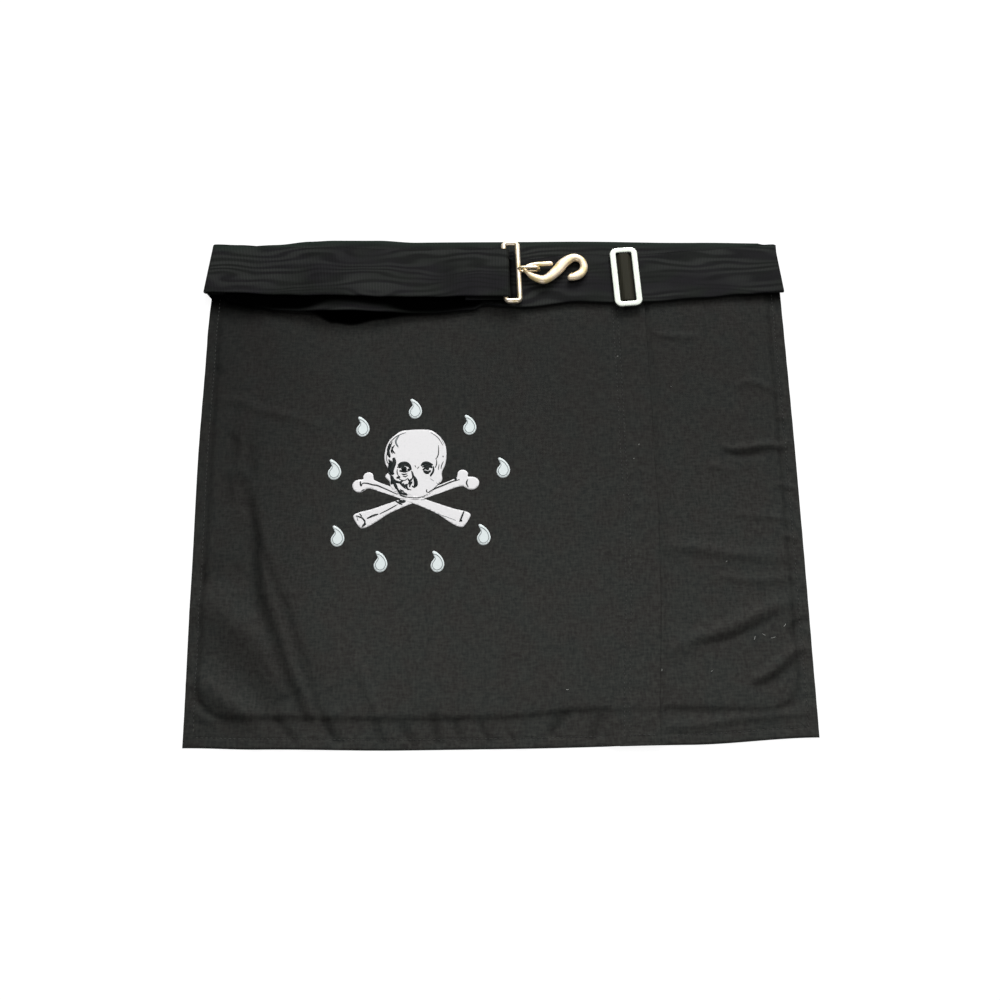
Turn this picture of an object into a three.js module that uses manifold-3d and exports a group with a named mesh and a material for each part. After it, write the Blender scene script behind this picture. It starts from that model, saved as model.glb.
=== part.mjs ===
// Black lodge apron lying flat: a cloth panel with a lapped pocket, a moire webbing belt folded
// over its top edge, a wire buckle with a snake hook, a flat slider, and a printed skull,
// crossbones and nine tears.
// Millimetres. X runs to the right, Y up the apron, Z up from the table.
// The origin is the middle of the panel's underside.

import * as THREE from 'three';
import * as BufferGeometryUtils from 'three/addons/utils/BufferGeometryUtils.js';
import Module from 'manifold-3d';

const wasm = await Module();
wasm.setup();

// Driving dimensions

const PANEL_WIDTH = 400;
const PANEL_HEIGHT = 350;
const CLOTH_THICKNESS = 1.2;
const STIFFENER_RISE = 1.2;
const LAP_WIDTH = 26;
const WEBBING_WIDTH = 37;
const WEBBING_THICKNESS = 1.2;
const BUCKLE_HEIGHT = 44.6;
const BUCKLE_WIDTH = 9.6;
const BUCKLE_WIRE = 3.6;
const EYE_WIRE = 1.8;
const HOOK_LENGTH = 43;
const SLIDER_WIDTH = 19.8;
const SLIDER_HEIGHT = 45.5;
const SLIDER_THICKNESS = 2.2;
const SKULL_WIDTH = 42;
const SKULL_HEIGHT = 50;
const TEAR_WIDTH = 9;
const TEAR_HEIGHT = 14.5;
const PRINT_THICKNESS = 0.3;
const GAP = 0.3;

// Levels of the stack, from the table up

const PANEL_TOP = CLOTH_THICKNESS + STIFFENER_RISE;
const LAP_UNDERSIDE = CLOTH_THICKNESS + GAP;
const LAP_TOP = LAP_UNDERSIDE + CLOTH_THICKNESS;
const STRAP_STEP = WEBBING_THICKNESS + GAP;
const WAISTBAND_LEVEL = Math.max(PANEL_TOP, LAP_TOP) + GAP + WEBBING_THICKNESS / 2;
const RIGHT_STRAP_LEVEL = WAISTBAND_LEVEL + STRAP_STEP;
const LEFT_STRAP_LEVEL = RIGHT_STRAP_LEVEL + STRAP_STEP;
const STRAP_TOP = RIGHT_STRAP_LEVEL + WEBBING_THICKNESS / 2;

const HALF_WIDTH = PANEL_WIDTH / 2;
const HALF_HEIGHT = PANEL_HEIGHT / 2;

// Looks

const CLOTH_BLACK = { color: 0x31322f, roughness: 0.9, metalness: 0 };
const WEBBING_BLACK = { color: 0x272828, roughness: 0.6, metalness: 0 };
const POLISHED_GOLD = { color: 0xd9bf86, roughness: 0.2, metalness: 1 };
const SATIN_SILVER = { color: 0xdcdfd8, roughness: 0.35, metalness: 1 };
const PRINT_WHITE = { color: 0xe8e8e8, roughness: 0.7, metalness: 0 };

// Interpolation in tables: rows are sorted by their first column

function between(table, key, column, at) {
  const last = table.length - 1;
  if (at <= table[0][key]) return table[0][column];
  if (at >= table[last][key]) return table[last][column];
  const next = table.findIndex((row) => row[key] > at);
  const before = table[next - 1];
  const after = table[next];
  const share = (at - before[key]) / (after[key] - before[key]);
  return THREE.MathUtils.lerp(before[column], after[column], THREE.MathUtils.smoothstep(share, 0, 1));
}

function steps(from, to, size) {
  const count = Math.max(1, Math.round(Math.abs(to - from) / size));
  return Array.from({ length: count + 1 }, (_, i) => THREE.MathUtils.lerp(from, to, i / count));
}

// Outline of the panel: along is the share of the side from its left or lower end,
// out the bow away from the straight side as a share of half the panel's width or height

const LEFT_SIDE = [
  { along: 0.0, out: 0.0055 },
  { along: 0.3, out: 0.0112 },
  { along: 0.55, out: 0.0153 },
  { along: 0.8, out: 0.01 },
  { along: 1.0, out: -0.0035 },
];
const RIGHT_SIDE = [
  { along: 0.0, out: 0.0088 },
  { along: 0.5, out: 0.01 },
  { along: 1.0, out: 0.0038 },
];
const LOWER_SIDE = [
  { along: 0.0, out: 0.011 },
  { along: 0.12, out: 0.0187 },
  { along: 0.34, out: 0.0275 },
  { along: 0.5, out: 0.0265 },
  { along: 0.8, out: 0.0187 },
  { along: 1.0, out: -0.0025 },
];
const UPPER_SIDE = [
  { along: 0.0, out: -0.009 },
  { along: 0.11, out: 0.0062 },
  { along: 0.17, out: 0.0195 },
  { along: 0.21, out: 0.0228 },
  { along: 0.29, out: 0.0205 },
  { along: 0.36, out: 0.0096 },
  { along: 0.62, out: 0.0066 },
  { along: 0.86, out: -0.0052 },
  { along: 1.0, out: -0.012 },
];
const POCKET_SIDE = [
  { along: 0.0, at: 0.508 },
  { along: 0.33, at: 0.533 },
  { along: 0.42, at: 0.537 },
  { along: 0.6, at: 0.5315 },
  { along: 1.0, at: 0.5215 },
];

const leftEdge = (v) => -HALF_WIDTH * (1 + between(LEFT_SIDE, 'along', 'out', v));
const rightEdge = (v) => HALF_WIDTH * (1 + between(RIGHT_SIDE, 'along', 'out', v));
const pocketEdge = (v) => HALF_WIDTH * between(POCKET_SIDE, 'along', 'at', v);
const tuckEdge = (v) => pocketEdge(v) - LAP_WIDTH;
const lowerEdge = (x) => -HALF_HEIGHT * (1 + between(LOWER_SIDE, 'along', 'out', x / PANEL_WIDTH + 0.5));
const upperEdge = (x) => HALF_HEIGHT * (1 + between(UPPER_SIDE, 'along', 'out', x / PANEL_WIDTH + 0.5));

// Relief of the cloth

// Creases: ends and middle as shares of the panel's width and height from its centre,
// rise and reach in shares of the cloth's thickness
const CREASES = [
  { fromX: -0.435, fromY: 0.26, midX: -0.432, midY: 0.09, toX: -0.42, toY: -0.03, rise: 0.45, reach: 6 },
  { fromX: -0.418, fromY: -0.03, midX: -0.372, midY: -0.22, toX: -0.272, toY: -0.46, rise: 0.75, reach: 6 },
  { fromX: -0.436, fromY: -0.02, midX: -0.392, midY: -0.24, toX: -0.31, toY: -0.44, rise: -0.4, reach: 5 },
  { fromX: -0.234, fromY: -0.33, midX: -0.205, midY: -0.41, toX: -0.192, toY: -0.47, rise: 0.5, reach: 5 },
  { fromX: -0.48, fromY: 0.165, midX: -0.4, midY: 0.147, toX: -0.3, toY: 0.108, rise: 0.35, reach: 5 },
  { fromX: -0.462, fromY: -0.3, midX: -0.42, midY: -0.335, toX: -0.372, toY: -0.373, rise: -0.35, reach: 7 },
  { fromX: 0.3, fromY: -0.316, midX: 0.385, midY: -0.3, toX: 0.488, toY: -0.243, rise: 0.6, reach: 5 },
  { fromX: 0.406, fromY: -0.4, midX: 0.455, midY: -0.365, toX: 0.495, toY: -0.333, rise: 0.6, reach: 5 },
  { fromX: 0.33, fromY: -0.142, midX: 0.41, midY: -0.168, toX: 0.49, toY: -0.165, rise: 0.35, reach: 5 },
  { fromX: 0.35, fromY: -0.07, midX: 0.42, midY: -0.08, toX: 0.488, toY: -0.092, rise: 0.3, reach: 5 },
  { fromX: 0.378, fromY: 0.064, midX: 0.425, midY: 0.052, toX: 0.495, toY: 0.07, rise: 0.6, reach: 5 },
  { fromX: 0.4, fromY: 0.178, midX: 0.44, midY: 0.196, toX: 0.488, toY: 0.168, rise: 0.35, reach: 5 },
  { fromX: 0.29, fromY: 0.297, midX: 0.325, midY: 0.292, toX: 0.362, toY: 0.29, rise: 0.3, reach: 5 },
];
const CREASE_PARTS = 8;
const CREASES_END = 0.37 * PANEL_HEIGHT;

const creaseLines = CREASES.map((crease) => {
  const place = (x, y) => new THREE.Vector2(x * PANEL_WIDTH, y * PANEL_HEIGHT);
  const line = new THREE.SplineCurve([
    place(crease.fromX, crease.fromY),
    place(crease.midX, crease.midY),
    place(crease.toX, crease.toY),
  ]);
  return {
    points: line.getPoints(CREASE_PARTS),
    rise: crease.rise * CLOTH_THICKNESS,
    reach: crease.reach * CLOTH_THICKNESS,
  };
});

function creaseHeight(x, y) {
  const here = new THREE.Vector2(x, y);
  let height = 0;
  for (const { points, rise, reach } of creaseLines) {
    let nearest = Infinity;
    let taper = 0;
    points.forEach((point, i) => {
      const away = here.distanceTo(point);
      if (away < nearest) {
        nearest = away;
        taper = Math.sin((Math.PI * (i + 0.5)) / points.length);
      }
    });
    height += rise * taper * Math.exp(-((nearest / reach) ** 2));
  }
  return height * THREE.MathUtils.smoothstep(CREASES_END - y, 0, 0.04 * PANEL_HEIGHT);
}

// The stiffener under the cloth: a rounded board inside the hem, shown as a low step
const STIFFENER = {
  left: -0.472 * PANEL_WIDTH,
  right: 0.478 * PANEL_WIDTH,
  bottom: -0.452 * PANEL_HEIGHT,
  cornerRadius: 0.05 * PANEL_WIDTH,
  shoulder: 7,
};

function stiffenerHeight(x, y) {
  const { left, right, bottom, cornerRadius, shoulder } = STIFFENER;
  const middle = (left + right) / 2;
  const across = Math.abs(x - middle) - ((right - left) / 2 - cornerRadius);
  const down = bottom + cornerRadius - y;
  const corner = Math.hypot(Math.max(across, 0), Math.max(down, 0));
  const inside = cornerRadius - (corner || Math.max(across, down));
  return STIFFENER_RISE * THREE.MathUtils.smoothstep(inside, 0, shoulder);
}

// Hem: offsets from the panel's edge where the grid has a line, the third one being the stitching
const HEM_OFFSETS = [0, 2.5, 5, 7.5, 12];
const HEM_STITCH = HEM_OFFSETS[2];
const HEM_GROOVE = { depth: 0.25, reach: 1.5 };
const HEM_PUCKER = 0.12;
const PUCKER_PITCH = 23;

function hemHeight(x, y) {
  const share = THREE.MathUtils.clamp(y / PANEL_HEIGHT + 0.5, 0, 1);
  const inset = Math.min(x - leftEdge(share), rightEdge(share) - x, y - lowerEdge(x));
  const groove = -HEM_GROOVE.depth * Math.exp(-(((inset - HEM_STITCH) / HEM_GROOVE.reach) ** 2));
  const pucker = HEM_PUCKER * Math.sin(((x + y) / PUCKER_PITCH) * 2 * Math.PI);
  return groove + pucker * (1 - THREE.MathUtils.smoothstep(inset, 0, HEM_OFFSETS[4]));
}

// The dark hollow where the cloth sags under the bowed straps: along is the share of the panel's
// width from its centre, low the hollow's lower rim as a share of the panel's height from its centre
const HOLLOW_RIM = [
  { along: -0.36, low: 0.362 },
  { along: -0.33, low: 0.347 },
  { along: -0.285, low: 0.321 },
  { along: -0.255, low: 0.316 },
  { along: -0.2, low: 0.328 },
  { along: -0.15, low: 0.338 },
  { along: -0.11, low: 0.346 },
  { along: -0.07, low: 0.362 },
];
const HOLLOW = { depth: 1.1, lip: 5 };

function hollowHeight(x, y) {
  const share = x / PANEL_WIDTH;
  if (share <= HOLLOW_RIM[0].along || share >= HOLLOW_RIM[HOLLOW_RIM.length - 1].along) return 0;
  const rimY = PANEL_HEIGHT * between(HOLLOW_RIM, 'along', 'low', share);
  return -HOLLOW.depth * THREE.MathUtils.smoothstep(y - rimY, 0, HOLLOW.lip);
}

const clothHeight = (x, y) => (
  CLOTH_THICKNESS + stiffenerHeight(x, y) + creaseHeight(x, y) + hemHeight(x, y) + hollowHeight(x, y)
);

// Small mesh tools

const MERGE_DISTANCE = 1e-4;

function meshFrom(points, triangles) {
  const geometry = new THREE.BufferGeometry();
  geometry.setAttribute('position', new THREE.Float32BufferAttribute(points.flat(), 3));
  geometry.setIndex(triangles.flat());
  geometry.computeVertexNormals();
  return geometry;
}

function toManifold(geometry) {
  const bare = geometry.clone();
  bare.deleteAttribute('normal');
  bare.deleteAttribute('uv');
  const merged = BufferGeometryUtils.mergeVertices(bare, MERGE_DISTANCE);
  return new wasm.Manifold(new wasm.Mesh({
    numProp: 3,
    vertProperties: new Float32Array(merged.attributes.position.array),
    triVerts: new Uint32Array(merged.index.array),
  }));
}

function fromManifold(solid) {
  const mesh = solid.getMesh();
  const geometry = new THREE.BufferGeometry();
  geometry.setAttribute('position', new THREE.BufferAttribute(mesh.vertProperties, 3));
  geometry.setIndex(new THREE.BufferAttribute(mesh.triVerts, 1));
  geometry.computeVertexNormals();
  return geometry;
}

function named(name, geometry, look) {
  const mesh = new THREE.Mesh(geometry, new THREE.MeshStandardMaterial(look));
  mesh.name = name;
  return mesh;
}

// A slab of cloth on a grid of column and row shares: place gives a grid point's x and y,
// top its upper height and under the underside's height of a column. The underside is quads
// from the lower to the upper side, with a fan to the points along the left and right sides.
function clothSlab({ columns, rows, place, top, under }) {
  const width = columns.length;
  const height = rows.length;
  const points = [];
  const upper = (i, j) => j * width + i;
  rows.forEach((v) => columns.forEach((u) => {
    const [x, y] = place(u, v);
    points.push([x, y, top(x, y, u)]);
  }));

  const lowerIndex = new Map();
  const onRim = (i, j) => i === 0 || j === 0 || i === width - 1 || j === height - 1;
  rows.forEach((v, j) => columns.forEach((u, i) => {
    if (!onRim(i, j)) return;
    lowerIndex.set(upper(i, j), points.length);
    const [x, y] = place(u, v);
    points.push([x, y, under(u)]);
  }));
  const lower = (i, j) => lowerIndex.get(upper(i, j));

  const triangles = [];
  for (let j = 0; j < height - 1; j += 1) {
    for (let i = 0; i < width - 1; i += 1) {
      triangles.push([upper(i, j), upper(i + 1, j), upper(i + 1, j + 1)]);
      triangles.push([upper(i, j), upper(i + 1, j + 1), upper(i, j + 1)]);
    }
  }
  const wall = (a, b) => {
    triangles.push([upper(...a), lower(...a), lower(...b)]);
    triangles.push([upper(...a), lower(...b), upper(...b)]);
  };
  for (let i = 0; i < width - 1; i += 1) {
    wall([i, 0], [i + 1, 0]);
    wall([i + 1, height - 1], [i, height - 1]);
    if (i > 0) triangles.push([lower(i, 0), lower(i, height - 1), lower(i + 1, 0)]);
    if (i < width - 2) triangles.push([lower(i + 1, 0), lower(i, height - 1), lower(i + 1, height - 1)]);
  }
  for (let j = 0; j < height - 1; j += 1) {
    wall([0, j + 1], [0, j]);
    wall([width - 1, j], [width - 1, j + 1]);
    triangles.push([lower(1, 0), lower(0, j), lower(0, j + 1)]);
    triangles.push([lower(width - 2, height - 1), lower(width - 1, j + 1), lower(width - 1, j)]);
  }
  return meshFrom(points, triangles);
}

// Grid shares of a side: fine lines at both ends, even ones between
function gridShares(length, startOffsets, endOffsets, size) {
  const first = startOffsets[startOffsets.length - 1];
  const last = length - endOffsets[endOffsets.length - 1];
  return [
    ...startOffsets.slice(0, -1),
    ...steps(first, last, size),
    ...endOffsets.slice(0, -1).reverse().map((offset) => length - offset),
  ].map((offset) => offset / length);
}

const GRID_SIZE = 9.5;
const PLAIN_OFFSETS = [0, 8];
const ROWS = gridShares(PANEL_HEIGHT, HEM_OFFSETS, PLAIN_OFFSETS, GRID_SIZE);

// Main panel: its right side laps over the pocket panel, so its underside steps up there
const LAP_SLOPE = { start: LAP_WIDTH + 10, end: LAP_WIDTH + 2 };
const LAP_SEAM = { inset: 22, reach: 3 };

function apronPanel() {
  const width = HALF_WIDTH + pocketEdge(0.5);
  const seamStart = LAP_SEAM.inset - LAP_SEAM.reach;
  const lapOffsets = [0, LAP_SEAM.reach, seamStart, LAP_SEAM.inset, LAP_SLOPE.end, LAP_SLOPE.start];
  const lapShare = (u) => 1 - THREE.MathUtils.smoothstep((1 - u) * width, LAP_SLOPE.end, LAP_SLOPE.start);
  return named('apron_panel', clothSlab({
    columns: gridShares(width, HEM_OFFSETS, lapOffsets, GRID_SIZE),
    rows: ROWS,
    place: (u, v) => {
      const x = THREE.MathUtils.lerp(leftEdge(v), pocketEdge(v), u);
      return [x, THREE.MathUtils.lerp(lowerEdge(x), upperEdge(x), v)];
    },
    top: (x, y, u) => THREE.MathUtils.lerp(clothHeight(x, y), LAP_TOP, lapShare(u)),
    under: (u) => LAP_UNDERSIDE * lapShare(u),
  }), CLOTH_BLACK);
}

// Pocket panel: its left side is tucked flat under the main panel
const TUCK_CLEAR = 3;
const TUCK_RISE = 8;

function pocketPanel() {
  const width = HALF_WIDTH - pocketEdge(0.5) + LAP_WIDTH;
  const tuckOffsets = [0, LAP_WIDTH, LAP_WIDTH + TUCK_CLEAR, LAP_WIDTH + TUCK_CLEAR + TUCK_RISE];
  const tuckShare = (u) => {
    const inset = u * width - LAP_WIDTH - TUCK_CLEAR;
    return 1 - THREE.MathUtils.smoothstep(inset, 0, TUCK_RISE);
  };
  return named('pocket_panel', clothSlab({
    columns: gridShares(width, tuckOffsets, HEM_OFFSETS, GRID_SIZE),
    rows: ROWS,
    place: (u, v) => {
      const x = THREE.MathUtils.lerp(tuckEdge(v), rightEdge(v), u);
      return [x, THREE.MathUtils.lerp(lowerEdge(x), upperEdge(x), v)];
    },
    top: (x, y, u) => THREE.MathUtils.lerp(clothHeight(x, y), CLOTH_THICKNESS, tuckShare(u)),
    under: () => 0,
  }), CLOTH_BLACK);
}

// Webbing: a ribbon through stations of its middle line, each with the height x z, the lower
// edge's y and the skew, which is how far the upper edge stands to the right of the lower one
const ACROSS = 3;

function ribbon(stations) {
  const middle = stations.map(({ x, z, lowY, skew }) => Array.from({ length: ACROSS + 1 }, (_, k) => {
    const share = k / ACROSS;
    return new THREE.Vector3(x + skew * (share - 0.5), lowY + WEBBING_WIDTH * share, z);
  }));
  const lengthwise = stations.map((_, i) => {
    const before = stations[Math.max(i - 1, 0)];
    const after = stations[Math.min(i + 1, stations.length - 1)];
    return new THREE.Vector3(after.x - before.x, 0, after.z - before.z).normalize();
  });
  const points = [];
  middle.forEach((row, i) => {
    const normal = new THREE.Vector3(-lengthwise[i].z, 0, lengthwise[i].x);
    for (const side of [1, -1]) {
      row.forEach((point) => {
        points.push(point.clone().addScaledVector(normal, (side * WEBBING_THICKNESS) / 2).toArray());
      });
    }
  });
  const rowSize = ACROSS + 1;
  const index = (i, side, k) => (2 * i + side) * rowSize + k;
  const triangles = [];
  const quad = (a, b, c, d) => triangles.push([a, b, c], [a, c, d]);
  for (let i = 0; i < stations.length - 1; i += 1) {
    for (let k = 0; k < ACROSS; k += 1) {
      quad(index(i, 0, k), index(i + 1, 0, k), index(i + 1, 0, k + 1), index(i, 0, k + 1));
      quad(index(i, 1, k), index(i, 1, k + 1), index(i + 1, 1, k + 1), index(i + 1, 1, k));
    }
    quad(index(i, 0, 0), index(i, 1, 0), index(i + 1, 1, 0), index(i + 1, 0, 0));
    quad(index(i, 0, ACROSS), index(i + 1, 0, ACROSS), index(i + 1, 1, ACROSS), index(i, 1, ACROSS));
  }
  const end = stations.length - 1;
  for (let k = 0; k < ACROSS; k += 1) {
    quad(index(0, 0, k), index(0, 0, k + 1), index(0, 1, k + 1), index(0, 1, k));
    quad(index(end, 0, k), index(end, 1, k), index(end, 1, k + 1), index(end, 0, k + 1));
  }
  return meshFrom(points, triangles);
}

// Stations round a half turn: turn is 1 where the strap turns back at its right, -1 at its left
function halfTurn({ x, z, radius, turn, lowY, skew, parts }) {
  return Array.from({ length: parts + 1 }, (_, i) => {
    const angle = -Math.PI / 2 + (Math.PI * i) / parts;
    return { x: x + turn * radius * Math.cos(angle), z: z + radius * Math.sin(angle), lowY, skew };
  });
}

// The waistband is sewn along the panel's upper side, under both straps
const WAISTBAND_REACH = 0.469 * PANEL_WIDTH;
const WAISTBAND_INSET = 0.5;
const STRAP_STATION = 9;
const LIFTED_STATION = 7;
const CLIMB_STATION = 0.5;

function waistband() {
  const stations = steps(-WAISTBAND_REACH, WAISTBAND_REACH, STRAP_STATION).map((x) => ({
    x,
    z: WAISTBAND_LEVEL,
    lowY: upperEdge(x) - WAISTBAND_INSET - WEBBING_WIDTH,
    skew: 0,
  }));
  return named('waistband', ribbon(stations), WEBBING_BLACK);
}

const LEG_CLEAR = 1;
const LEG_END = WAISTBAND_REACH + LEG_CLEAR;
const LEFT_LEG = { drop: 4.4, corner: 2.5 };
const TURN_CLEAR = 4;
const TURN_PARTS = 8;

// The slider's place on the right strap
const SLIDER = {
  x: 0.2294 * PANEL_WIDTH,
  y: 0.4155 * PANEL_HEIGHT,
  lean: 0.062,
  opening: 10.6,
  endBar: 3.9,
  openingCorner: 0.6,
  centreBar: 2.5,
  centreBarThickness: 1,
  centreBarSunkEnd: 1.5,
  cornerRadius: 5,
  z: STRAP_TOP + GAP,
};
const STRAP_OVER_BAR = SLIDER.z + SLIDER.centreBarThickness + GAP + WEBBING_THICKNESS / 2;
const CLIMB = { start: 0.484 * SLIDER.opening, end: 0.158 * SLIDER.opening, clear: 1 };

// Right strap: along is the share of the panel's width from its centre, low the lower edge's
// height as a share of the panel's height from its centre, bow its rise off the stack
// in webbing thicknesses, skew in mm
const RIGHT_STRAP = [
  { along: -0.475, low: 0.3745, bow: 0, skew: 0 },
  { along: -0.42, low: 0.361, bow: 0, skew: 0 },
  { along: -0.385, low: 0.353, bow: 0, skew: 0 },
  { along: -0.35, low: 0.3495, bow: 0.9, skew: 0 },
  { along: -0.3, low: 0.347, bow: 3.4, skew: 0 },
  { along: -0.25, low: 0.345, bow: 4.3, skew: 0 },
  { along: -0.195, low: 0.343, bow: 2.8, skew: 0 },
  { along: -0.145, low: 0.342, bow: 0.6, skew: 0 },
  { along: -0.11, low: 0.3425, bow: 0, skew: 0 },
  { along: -0.04, low: 0.349, bow: 0, skew: 0 },
  { along: -0.02, low: 0.3605, bow: 0, skew: 0 },
  { along: 0.005, low: 0.3575, bow: 0, skew: 0 },
  { along: 0.05, low: 0.3545, bow: 0, skew: 0 },
  { along: 0.145, low: 0.3655, bow: 0, skew: -0.8 },
  { along: 0.2, low: 0.3627, bow: 0, skew: -2.3 },
  { along: 0.25, low: 0.3627, bow: 0, skew: -2.3 },
  { along: 0.36, low: 0.3705, bow: 0, skew: -2.4 },
  { along: 0.43, low: 0.3775, bow: 0, skew: -3.4 },
  { along: 0.5, low: 0.3825, bow: 0, skew: -4.1 },
];
const RIGHT_TURN = { x: 0.4992 * PANEL_WIDTH, radius: STRAP_STEP / 2 };

function rightStrapAt(x) {
  const share = x / PANEL_WIDTH;
  const offset = Math.abs(x - SLIDER.x);
  const climb = THREE.MathUtils.smoothstep(CLIMB.start - offset, 0, CLIMB.start - CLIMB.end);
  const bow = between(RIGHT_STRAP, 'along', 'bow', share) * WEBBING_THICKNESS;
  return {
    x,
    z: RIGHT_STRAP_LEVEL + bow + climb * (STRAP_OVER_BAR - RIGHT_STRAP_LEVEL),
    lowY: PANEL_HEIGHT * between(RIGHT_STRAP, 'along', 'low', share),
    skew: between(RIGHT_STRAP, 'along', 'skew', share),
  };
}

function beltRight() {
  const { lowY, skew } = rightStrapAt(RIGHT_TURN.x);
  const leg = [
    { x: LEG_END, z: WAISTBAND_LEVEL, lowY, skew: 0 },
    { x: (LEG_END + RIGHT_TURN.x) / 2, z: WAISTBAND_LEVEL, lowY, skew: skew / 2 },
  ];
  const turn = halfTurn({
    x: RIGHT_TURN.x,
    z: (WAISTBAND_LEVEL + RIGHT_STRAP_LEVEL) / 2,
    radius: RIGHT_TURN.radius,
    turn: 1,
    lowY,
    skew,
    parts: TURN_PARTS,
  });
  const reach = CLIMB.start + CLIMB.clear;
  const run = [
    ...steps(RIGHT_TURN.x - TURN_CLEAR, SLIDER.x + reach, STRAP_STATION),
    ...steps(SLIDER.x + CLIMB.start, SLIDER.x + CLIMB.end, CLIMB_STATION),
    ...steps(SLIDER.x - CLIMB.end, SLIDER.x - CLIMB.start, CLIMB_STATION),
    ...steps(SLIDER.x - reach, RIGHT_STRAP[0].along * PANEL_WIDTH, STRAP_STATION),
  ].map(rightStrapAt);
  return named('belt_right', ribbon([...leg, ...turn, ...run]), WEBBING_BLACK);
}

// Buckle: a flat wire loop, its left bar inside the left strap's end, with a small eye
// on its right bar that holds the snake hook
const BUCKLE = {
  x: 0.0167 * PANEL_WIDTH,
  y: 0.4263 * PANEL_HEIGHT,
  lean: 0.034,
  cornerRadius: 2.2,
  cornerParts: 5,
  sides: 12,
};
const EYE = {
  reach: 14.5,
  halfHeight: 3.1,
  y: 0.4314 * PANEL_HEIGHT,
  cornerRadius: 3,
  cornerParts: 6,
  sides: 10,
};
const EYE_LEVEL = STRAP_TOP + GAP + EYE.halfHeight + EYE_WIRE / 2;
const WRAP_RADIUS = BUCKLE_WIRE / 2 + GAP + WEBBING_THICKNESS / 2;
const BUCKLE_LEVEL = LEFT_STRAP_LEVEL + WRAP_RADIUS;

// Left strap: as the right one, with lift its height over the right strap in webbing
// thicknesses
const LEFT_STRAP = [
  { along: -0.5, low: 0.394, lift: 0, skew: 4.9 },
  { along: -0.46, low: 0.392, lift: 0, skew: 3.2 },
  { along: -0.385, low: 0.3855, lift: 0.1, skew: 0 },
  { along: -0.3, low: 0.378, lift: 0.35, skew: 0 },
  { along: -0.245, low: 0.3745, lift: 0.35, skew: 0 },
  { along: -0.2, low: 0.3735, lift: 0.3, skew: 0 },
  { along: -0.16, low: 0.376, lift: 0.3, skew: 0 },
  { along: -0.12, low: 0.3765, lift: 0.35, skew: 0 },
  { along: -0.095, low: 0.376, lift: 0.6, skew: -0.2 },
  { along: -0.06, low: 0.3748, lift: 2.3, skew: -0.6 },
  { along: -0.02, low: 0.372, lift: 3.4, skew: -1 },
  { along: 0.0167, low: 0.3692, lift: 4.5, skew: -1.26 },
];
const LEFT_TURN = { x: -0.503 * PANEL_WIDTH, radius: STRAP_STEP };
const TAIL_END = -0.055 * PANEL_WIDTH;

function leftStrapAt(x) {
  const share = x / PANEL_WIDTH;
  const lift = between(LEFT_STRAP, 'along', 'lift', share) * WEBBING_THICKNESS;
  return {
    x,
    z: Math.min(rightStrapAt(x).z + STRAP_STEP + lift, BUCKLE_LEVEL + WRAP_RADIUS),
    lowY: PANEL_HEIGHT * between(LEFT_STRAP, 'along', 'low', share),
    skew: between(LEFT_STRAP, 'along', 'skew', share),
  };
}

function beltLeft() {
  const atBuckle = leftStrapAt(BUCKLE.x);
  const atTurn = leftStrapAt(LEFT_TURN.x);
  const tail = steps(TAIL_END, BUCKLE.x - TURN_CLEAR, STRAP_STATION).map((x) => ({
    ...atBuckle,
    x,
    z: BUCKLE_LEVEL - WRAP_RADIUS,
  }));
  const wrap = halfTurn({
    ...atBuckle,
    x: BUCKLE.x,
    z: BUCKLE_LEVEL,
    radius: WRAP_RADIUS,
    turn: 1,
    parts: TURN_PARTS,
  });
  const run = steps(BUCKLE.x - TURN_CLEAR, LEFT_TURN.x + TURN_CLEAR, LIFTED_STATION).map(leftStrapAt);
  const turn = halfTurn({
    ...atTurn,
    x: LEFT_TURN.x,
    z: (WAISTBAND_LEVEL + LEFT_STRAP_LEVEL) / 2,
    radius: LEFT_TURN.radius,
    turn: -1,
    parts: TURN_PARTS,
  }).reverse();
  const lowY = atTurn.lowY - LEFT_LEG.drop;
  const leg = [
    { x: LEFT_TURN.x + LEFT_LEG.corner, z: WAISTBAND_LEVEL, lowY, skew: atTurn.skew / 2 },
    { x: -LEG_END, z: WAISTBAND_LEVEL, lowY, skew: 0 },
  ];
  return named('belt_left', ribbon([...tail, ...wrap, ...run, ...turn, ...leg]), WEBBING_BLACK);
}

// Wire: rings of a round or flattened section along a curve, with a pole closing each end
// of an open wire; up is the direction of the section's thickness
const POLE_RISE = 0.4;

function wire({ curve, parts, sides, up, closed = false, halfWidth, halfThickness }) {
  const points = [];
  const rings = closed ? parts : parts + 1;
  for (let i = 0; i < rings; i += 1) {
    const share = i / parts;
    const centre = curve.getPoint(share);
    const side = new THREE.Vector3().crossVectors(curve.getTangent(share), up).normalize();
    for (let k = 0; k < sides; k += 1) {
      const angle = (2 * Math.PI * k) / sides;
      const point = centre.clone();
      point.addScaledVector(side, Math.cos(angle) * halfWidth(share));
      point.addScaledVector(up, Math.sin(angle) * halfThickness(share));
      points.push(point.toArray());
    }
  }
  const triangles = [];
  const index = (i, k) => (i % rings) * sides + (k % sides);
  for (let i = 0; i < parts; i += 1) {
    for (let k = 0; k < sides; k += 1) {
      triangles.push([index(i, k), index(i + 1, k + 1), index(i, k + 1)]);
      triangles.push([index(i, k), index(i + 1, k), index(i + 1, k + 1)]);
    }
  }
  if (!closed) {
    for (const [ring, share, outward] of [[0, 0, -1], [parts, 1, 1]]) {
      const pole = points.length;
      const rise = outward * halfWidth(share) * POLE_RISE;
      const tip = curve.getPoint(share).addScaledVector(curve.getTangent(share), rise);
      points.push(tip.toArray());
      for (let k = 0; k < sides; k += 1) {
        const pair = [index(ring, k), index(ring, k + 1)];
        triangles.push(outward < 0 ? [pole, ...pair] : [pole, ...pair.reverse()]);
      }
    }
  }
  return meshFrom(points, triangles);
}

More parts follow.
